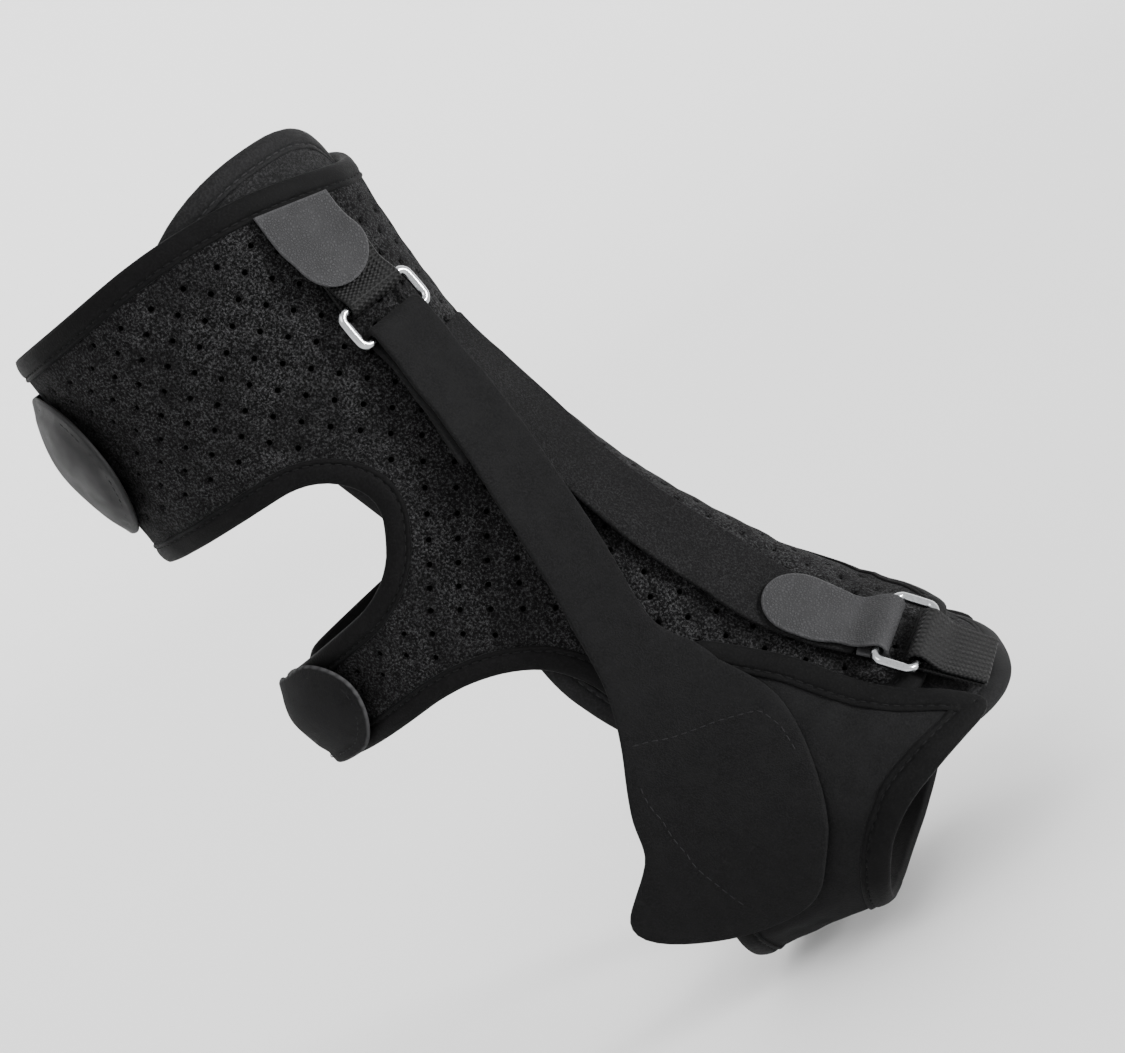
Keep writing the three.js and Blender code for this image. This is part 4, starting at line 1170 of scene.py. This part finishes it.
class SPLINT_OT_side_strap(bpy.types.Operator):
    """Side strap, folded back through the upper ring and widened into the paddle"""

    bl_idname = "splint.side_strap"
    bl_label = "Side strap"

    def execute(self, context):
        round_at = lambda y: reader(SIDE_LINE, 1)(y) * PER_DEGREE
        out_at = lambda y: PADDLE_LOW + STRAP_THICKNESS / 2 + reader(SIDE_LINE, 2)(y)
        neck = LOWER_BAR_AT[0] + 10
        back = np.arange(LOWER_BAR_AT[0] + RETURN_LENGTH, neck, -4.0)
        ahead = np.arange(neck, SIDE_STRAP_END * FRONT_LENGTH, 4.0)
        path = Path(np.vstack([
            np.column_stack([back, out_at(back) - STRAP_THICKNESS - GAP]),
            turn_round(LOWER_BAR_AT, STRAP_TURN, -1)[:-1],
            np.column_stack([ahead, out_at(ahead)]),
        ]), round_at, 2)
        shift = path.s[-1] - path.line[-1, 0]

        def beside(share, degrees):
            y = share * FRONT_LENGTH
            wide = (degrees * PER_DEGREE - round_at(y)) * stretch(round_at, y)
            return np.column_stack([wide, y + shift])

        half = SIDE_STRAP_WIDTH / 2
        outer, inner = np.array(PADDLE_START) * FRONT_LENGTH + shift
        share, degrees, bends = np.array(PADDLE_CORNERS).T
        corners = np.vstack([
            [(-half, 0), (half, 0), (half, outer)], beside(share, degrees), [(-half, inner)]])
        loop = even(rounded(corners, np.concatenate([[1.5, 1.5, 14], bends, [5]])), 2.0)

        def place(flat, side):
            y = (flat[:, 1] - shift) / FRONT_LENGTH
            part = np.clip((y - BEND_START) / BEND_SHARE, 0, 1)
            part = (part * part * (3 - 2 * part))[:, None]
            askew = np.clip(1 - flat[:, 1] / 40, 0, 1) * FOLD_SKEW
            moved = flat + np.column_stack([askew, np.zeros(len(flat))])
            wave = 0.35 * ripple(flat, 30, 11)
            strap = path.level(moved, side + wave * 0.5)
            return strap * (1 - part) + path.bent(flat, side + np.maximum(wave, -0.2)) * part

        soup = Soup()
        cloth(soup, loop, place, STRAP_THICKNESS / 2, 2.4, 0.9, level_inwards)
        for seam in (STRAP_SEAM, PADDLE_SEAM):
            marks = np.linspace(0, len(seam) - 1, 60)
            line = beside(*read_at(marks, range(len(seam)), np.array(seam)).T)
            top = np.full(len(line), STRAP_THICKNESS / 2)
            up = place(line, top + 1) - place(line, top)
            stitch_line(soup, place(line, top - 0.03), up, PADDLE_STITCH, False)
        pile = velvet("strap_pile", context.scene.splint_colours.pile)
        piece = keep(soup.build("side_strap_cloth", pile), "side_strap")
        width, length = (loop.max(0) - loop.min(0)) * MM
        x, y = loop.T
        area = abs((x * np.roll(y, -1) - np.roll(x, -1) * y).sum()) / 2 * MM * MM
        area = max(area, LEAST_AREA * width * length)
        return {"FINISHED"}


class SPLINT_OT_dorsal_strap(bpy.types.Operator):
    """Dorsal strap down the instep, and the hook tab that carries it through the toe ring"""

    bl_idname = "splint.dorsal_strap"
    bl_label = "Dorsal strap"

    def execute(self, context):
        tones = context.scene.splint_colours
        round_at = lambda y: reader(DORSAL_LINE, 1)(y) * PER_DEGREE
        strap_out = lambda y: WEB_MID + reader(DORSAL_LINE, 2)(y)
        foot = TAB_BAR_AT[0] - TAB_TURN * 2
        y = np.arange(DORSAL_STRAP_START * FRONT_LENGTH, foot - GAP, 3.5)
        path = Path(np.column_stack([y, strap_out(y)]), round_at, 1)
        strap_piece(
            "dorsal_strap_cloth", "dorsal_strap",
            fuzzy_knit("loop_pile", tones.pile * 0.8, tones.fibre * 0.45, 1500, 0.01),
            path, square_strip(DORSAL_STRAP_WIDTH, path.s[-1]),
            (WEB_THICKNESS / 2, 2.2, 0.6))

        flat_out = TAB_LOW + TAB_THICKNESS / 2
        over = lambda y: strap_out(y) + WEB_THICKNESS / 2 + LAYER_GAP + TAB_THICKNESS / 2
        neck = TAB_BAR_AT[0] - neck_reach(TAB_TURN, float(over(foot)) - flat_out)
        back = np.arange(neck, TAB_BAR_AT[0] - TOE_TAB_LENGTH, -2.5)
        folded = Path(np.vstack([
            [(foot, flat_out)], turn_round(TAB_BAR_AT, TAB_TURN, 1),
            np.column_stack([back, over(back)]),
        ]), round_at, 2)
        length = folded.s[-1]

        def place(flat, side):
            beyond = (flat[:, 1] - length + WAIST_FROM_TIP) / WAIST_LENGTH
            waist = 1 - WAIST * np.exp(-beyond ** 2)
            return folded.level(flat * np.column_stack([waist, np.ones(len(flat))]), side)

        strap_piece(
            "toe_tab_cloth", "toe_tab", hook_tape("toe_hooks", tones.hook),
            folded, oval_strip(DORSAL_STRAP_WIDTH, 0, length, 13),
            (TAB_THICKNESS / 2 * 0.8, 1.8, 0.7),
            place)
        return {"FINISHED"}


class SPLINT_OT_webbing(bpy.types.Operator):
    """Webbing round the ring bars, and the grey hook tab over the upper one"""

    bl_idname = "splint.webbing"
    bl_label = "Webbing"

    def execute(self, context):
        tones = context.scene.splint_colours
        weave = webbing("ribbed_webbing", tones.tape)
        for node, bar, (_, degrees), width, towards, reach in (
                ("upper_webbing", UPPER_BAR_AT, UPPER_BAR, SIDE_STRAP_WIDTH, 1, UPPER_WEB_LENGTH),
                ("toe_webbing", TOE_BAR_AT, TOE_BAR, DORSAL_STRAP_WIDTH, -1, TOE_WEB_LENGTH)):
            end, neck = bar[0] - towards * reach, bar[0] - towards * neck_reach(WEB_TURN, WEB_STEP)
            line = np.vstack([
                np.column_stack([np.linspace(end, neck, 6), np.full(6, WEB_MID)]),
                turn_round(bar, WEB_TURN, towards),
                np.column_stack([np.linspace(neck, end, 6), np.full(6, WEB_MID + WEB_STEP)]),
            ])
            path = Path(line[::towards], straight(degrees), 2)
            length = path.s[-1]
            start = length - BOX_LENGTH if towards > 0 else BOX_MARGIN
            strap_piece(
                node + "_cloth", node, weave, path, square_strip(width, length, 0.6),
                (WEB_THICKNESS / 2, 1.8, 0.6),
                sew=lambda soup: sew_box(soup, path, width, start))

        top = UPPER_TAB_TOP[0] * FRONT_LENGTH
        flat_out = TAB_LOW + TAB_THICKNESS / 2
        raised = WEB_MID + WEB_STEP + WEB_THICKNESS / 2 + 4 * LAYER_GAP + TAB_THICKNESS / 2
        seam = UPPER_BAR_AT[0] - UPPER_WEB_LENGTH
        path = Path([
            (top - 3, flat_out - 1.2), (top + 5, flat_out - 0.8), (seam - 6, flat_out),
            (seam, raised - 0.6), (seam + 7, raised), (top + UPPER_TAB_LENGTH, raised + 0.4),
        ], straight(UPPER_TAB_TOP[1]), 3)
        strap_piece(
            "upper_tab_cloth", "upper_tab", hook_tape("upper_hooks", tones.hook),
            path, oval_strip(UPPER_TAB_WIDTH, 4, path.s[-1], 12, 2.5),
            (TAB_THICKNESS / 2 * 0.75, 1.8, 0.65))
        return {"FINISHED"}


def straight(degrees):
    """The distance round of a line that keeps its degrees all along."""
    return level(degrees * PER_DEGREE)


def sew_box(soup, path, width, start):
    """Rows of stitches across a webbing's sewn end."""
    across = np.linspace(-width / 2 + 1.5, width / 2 - 1.5, 20)
    top = np.full(20, WEB_THICKNESS / 2)
    for offset in BOX_ROWS:
        line = np.column_stack([across, np.full(20, start + offset)])
        points = path.level(line, top)
        stitch_line(soup, points, path.level(line, top + 1) - points, BOX_STITCH, False)


class SPLINT_OT_rings(bpy.types.Operator):
    """The two wire rings: a round section swept along a rounded rectangle"""

    bl_idname = "splint.rings"
    bl_label = "Rings"

    def execute(self, context):
        wire = chrome_wire("plated_wire")
        turn = np.linspace(0, 2 * math.pi, 96, endpoint=False)
        circle = np.column_stack([np.cos(turn), np.sin(turn)])
        section = np.linspace(0, 2 * math.pi, 20, endpoint=False)
        for node, bars, (_, degrees), room in (
                ("upper_ring", (UPPER_BAR_AT, LOWER_BAR_AT), UPPER_BAR, SIDE_STRAP_WIDTH),
                ("toe_ring", (TAB_BAR_AT, TOE_BAR_AT), TOE_BAR, DORSAL_STRAP_WIDTH)):
            a, b = (lay(np.array([(degrees * PER_DEGREE, y)]), out)[0] for y, out in bars)
            path = Path(bars, straight(degrees), 0)
            middle = np.array([(0.0, path.s[-1] / 2)])
            sideways = unit(path.level(middle + (1, 0), 0) - path.level(middle, 0))[0]
            lengthways = unit(b - a)
            up = np.cross(sideways, lengthways)
            size = np.array([room + 2 * RING_ROOM + WIRE, np.linalg.norm(b - a)])
            straights = np.sign(circle) * (size / 2 - RING_CORNER)
            line = straights * np.minimum(1, np.abs(circle) * 4) + RING_CORNER * circle
            ring = line[:, None] + circle[:, None] * (np.cos(section) * WIRE / 2)[None, :, None]
            height = np.broadcast_to(np.sin(section) * WIRE / 2, ring.shape[:2])
            points = ((a + b) / 2 + ring[..., :1] * sideways + ring[..., 1:] * lengthways
                      + height[..., None] * up).reshape(-1, 3)
            soup = Soup()
            faces = tube_faces(len(turn), len(section))[:, ::-1]
            soup.add(points, faces, np.zeros((len(points), 2)), FAR_FROM_EDGE)
            keep(soup.build(node + "_wire", wire), node)
        return {"FINISHED"}


def placed(context, name, data, spot, x, y, z):
    """Links a new object at a spot, with its own axes turned to x, y and z."""
    thing = bpy.data.objects.new(name, data)
    turn = Matrix(np.column_stack([x, y, z]).tolist()).to_4x4()
    thing.matrix_world = Matrix.Translation(spot.tolist()) @ turn
    context.scene.collection.objects.link(thing)
    return thing


class SPLINT_OT_stage(bpy.types.Operator):
    """Floor, lights and the photograph's camera"""

    bl_idname = "splint.stage"
    bl_label = "Stage"

    def execute(self, context):
        view, scene = context.scene.splint_view, context.scene
        a, e, roll = view.azimuth, view.elevation, view.roll
        back = np.array([math.sin(a) * math.cos(e), -math.cos(a) * math.cos(e), math.sin(e)])
        side = np.array([math.cos(a), math.sin(a), 0])
        up = np.cross(back, side)
        right = side * math.cos(roll) - up * math.sin(roll)
        top = side * math.sin(roll) + up * math.cos(roll)
        data = bpy.data.cameras.new("photo_camera")
        data.lens, data.sensor_width, data.clip_end = view.lens, 36, 50
        spot = AIM + back * view.distance
        scene.camera = placed(context, "photo_camera", data, spot, right, top, back)

        away = unit(np.array([-back[0], -back[1], 0]))
        turn = np.linspace(0, math.pi / 2, 24)
        reach = np.concatenate([[FLOOR_NEAR], FLOOR_FAR + BEND * np.sin(turn), [FLOOR_FAR + BEND]])
        height = np.concatenate([[0.0], BEND * (1 - np.cos(turn)), [WALL_TOP]]) + FLOOR_HEIGHT
        line = reach[:, None] * away + height[:, None] * (0, 0, 1)
        points = np.concatenate([line + side * HALF_WIDTH, line - side * HALF_WIDTH])
        i = np.arange(len(line) - 1)
        faces = np.column_stack([i, i + 1, i + 1 + len(line), i + len(line)])
        mesh = bpy.data.meshes.new("floor")
        mesh.from_pydata(points.tolist(), [], faces.tolist())
        mesh.polygons.foreach_set("use_smooth", np.ones(len(faces), bool))
        floor = bpy.data.objects.new("floor", mesh)
        scene.collection.objects.link(floor)
        s = Shader("pale_floor")
        mesh.materials.append(s.finish(s.mix(s.noise(3, 2), grey(0.86, 1), grey(0.88, 1)), 0.8))

        world = bpy.data.worlds.new("studio")
        world.use_nodes = True
        background = world.node_tree.nodes["Background"].inputs
        background[0].default_value, background[1].default_value = (1, 1, 1, 1), WORLD_LIGHT
        scene.world = world
        for name, way, share, spread in LAMPS:
            light = bpy.data.lights.new(name, "SUN")
            light.energy, light.angle = view.key * share, spread
            offset = np.array(way) @ np.array([right, top, back])
            z = unit(offset)
            x = unit(np.cross([0, 0, 1.0], z))
            placed(context, name, light, AIM + offset, x, np.cross(z, x), z)
        return {"FINISHED"}


class SPLINT_PT_sidebar(bpy.types.Panel):
    """Settings and steps of the splint"""

    bl_idname = "SPLINT_PT_sidebar"
    bl_label = "Night splint"
    bl_space_type = "VIEW_3D"
    bl_region_type = "UI"
    bl_category = "Splint"

    def draw(self, context):
        for name, _ in GROUPS:
            group, box = getattr(context.scene, name), self.layout.box()
            for key in group.__annotations__:
                box.prop(group, key)
        for step in STEPS:
            self.layout.operator(step.bl_idname)


STEPS = (SPLINT_OT_pad, SPLINT_OT_shell, SPLINT_OT_wrap, SPLINT_OT_back_tabs, SPLINT_OT_rings,
         SPLINT_OT_webbing, SPLINT_OT_dorsal_strap, SPLINT_OT_side_strap, SPLINT_OT_stage)
GROUPS = (
    ("splint_cloth", SplintCloth), ("splint_colours", SplintColours), ("splint_view", SplintView))


def register():
    """Adds classes and scene properties."""
    for _, group in GROUPS:
        bpy.utils.register_class(group)
    for step in (*STEPS, SPLINT_PT_sidebar):
        bpy.utils.register_class(step)
    for name, group in GROUPS:
        setattr(bpy.types.Scene, name, PointerProperty(type=group))


def unregister():
    """Removes them again."""
    for name, _ in GROUPS:
        delattr(bpy.types.Scene, name)
    for step in (SPLINT_PT_sidebar, *STEPS[::-1]):
        bpy.utils.unregister_class(step)
    for _, group in GROUPS[::-1]:
        bpy.utils.unregister_class(group)


def main():
    """Runs every step in order."""
    register()
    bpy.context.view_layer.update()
    bpy.ops.splint.pad()
    bpy.ops.splint.shell()
    bpy.ops.splint.wrap()
    bpy.ops.splint.back_tabs()
    bpy.ops.splint.rings()
    bpy.ops.splint.webbing()
    bpy.ops.splint.dorsal_strap()
    bpy.ops.splint.side_strap()
    bpy.ops.splint.stage()


if __name__ == "__main__":
    main()
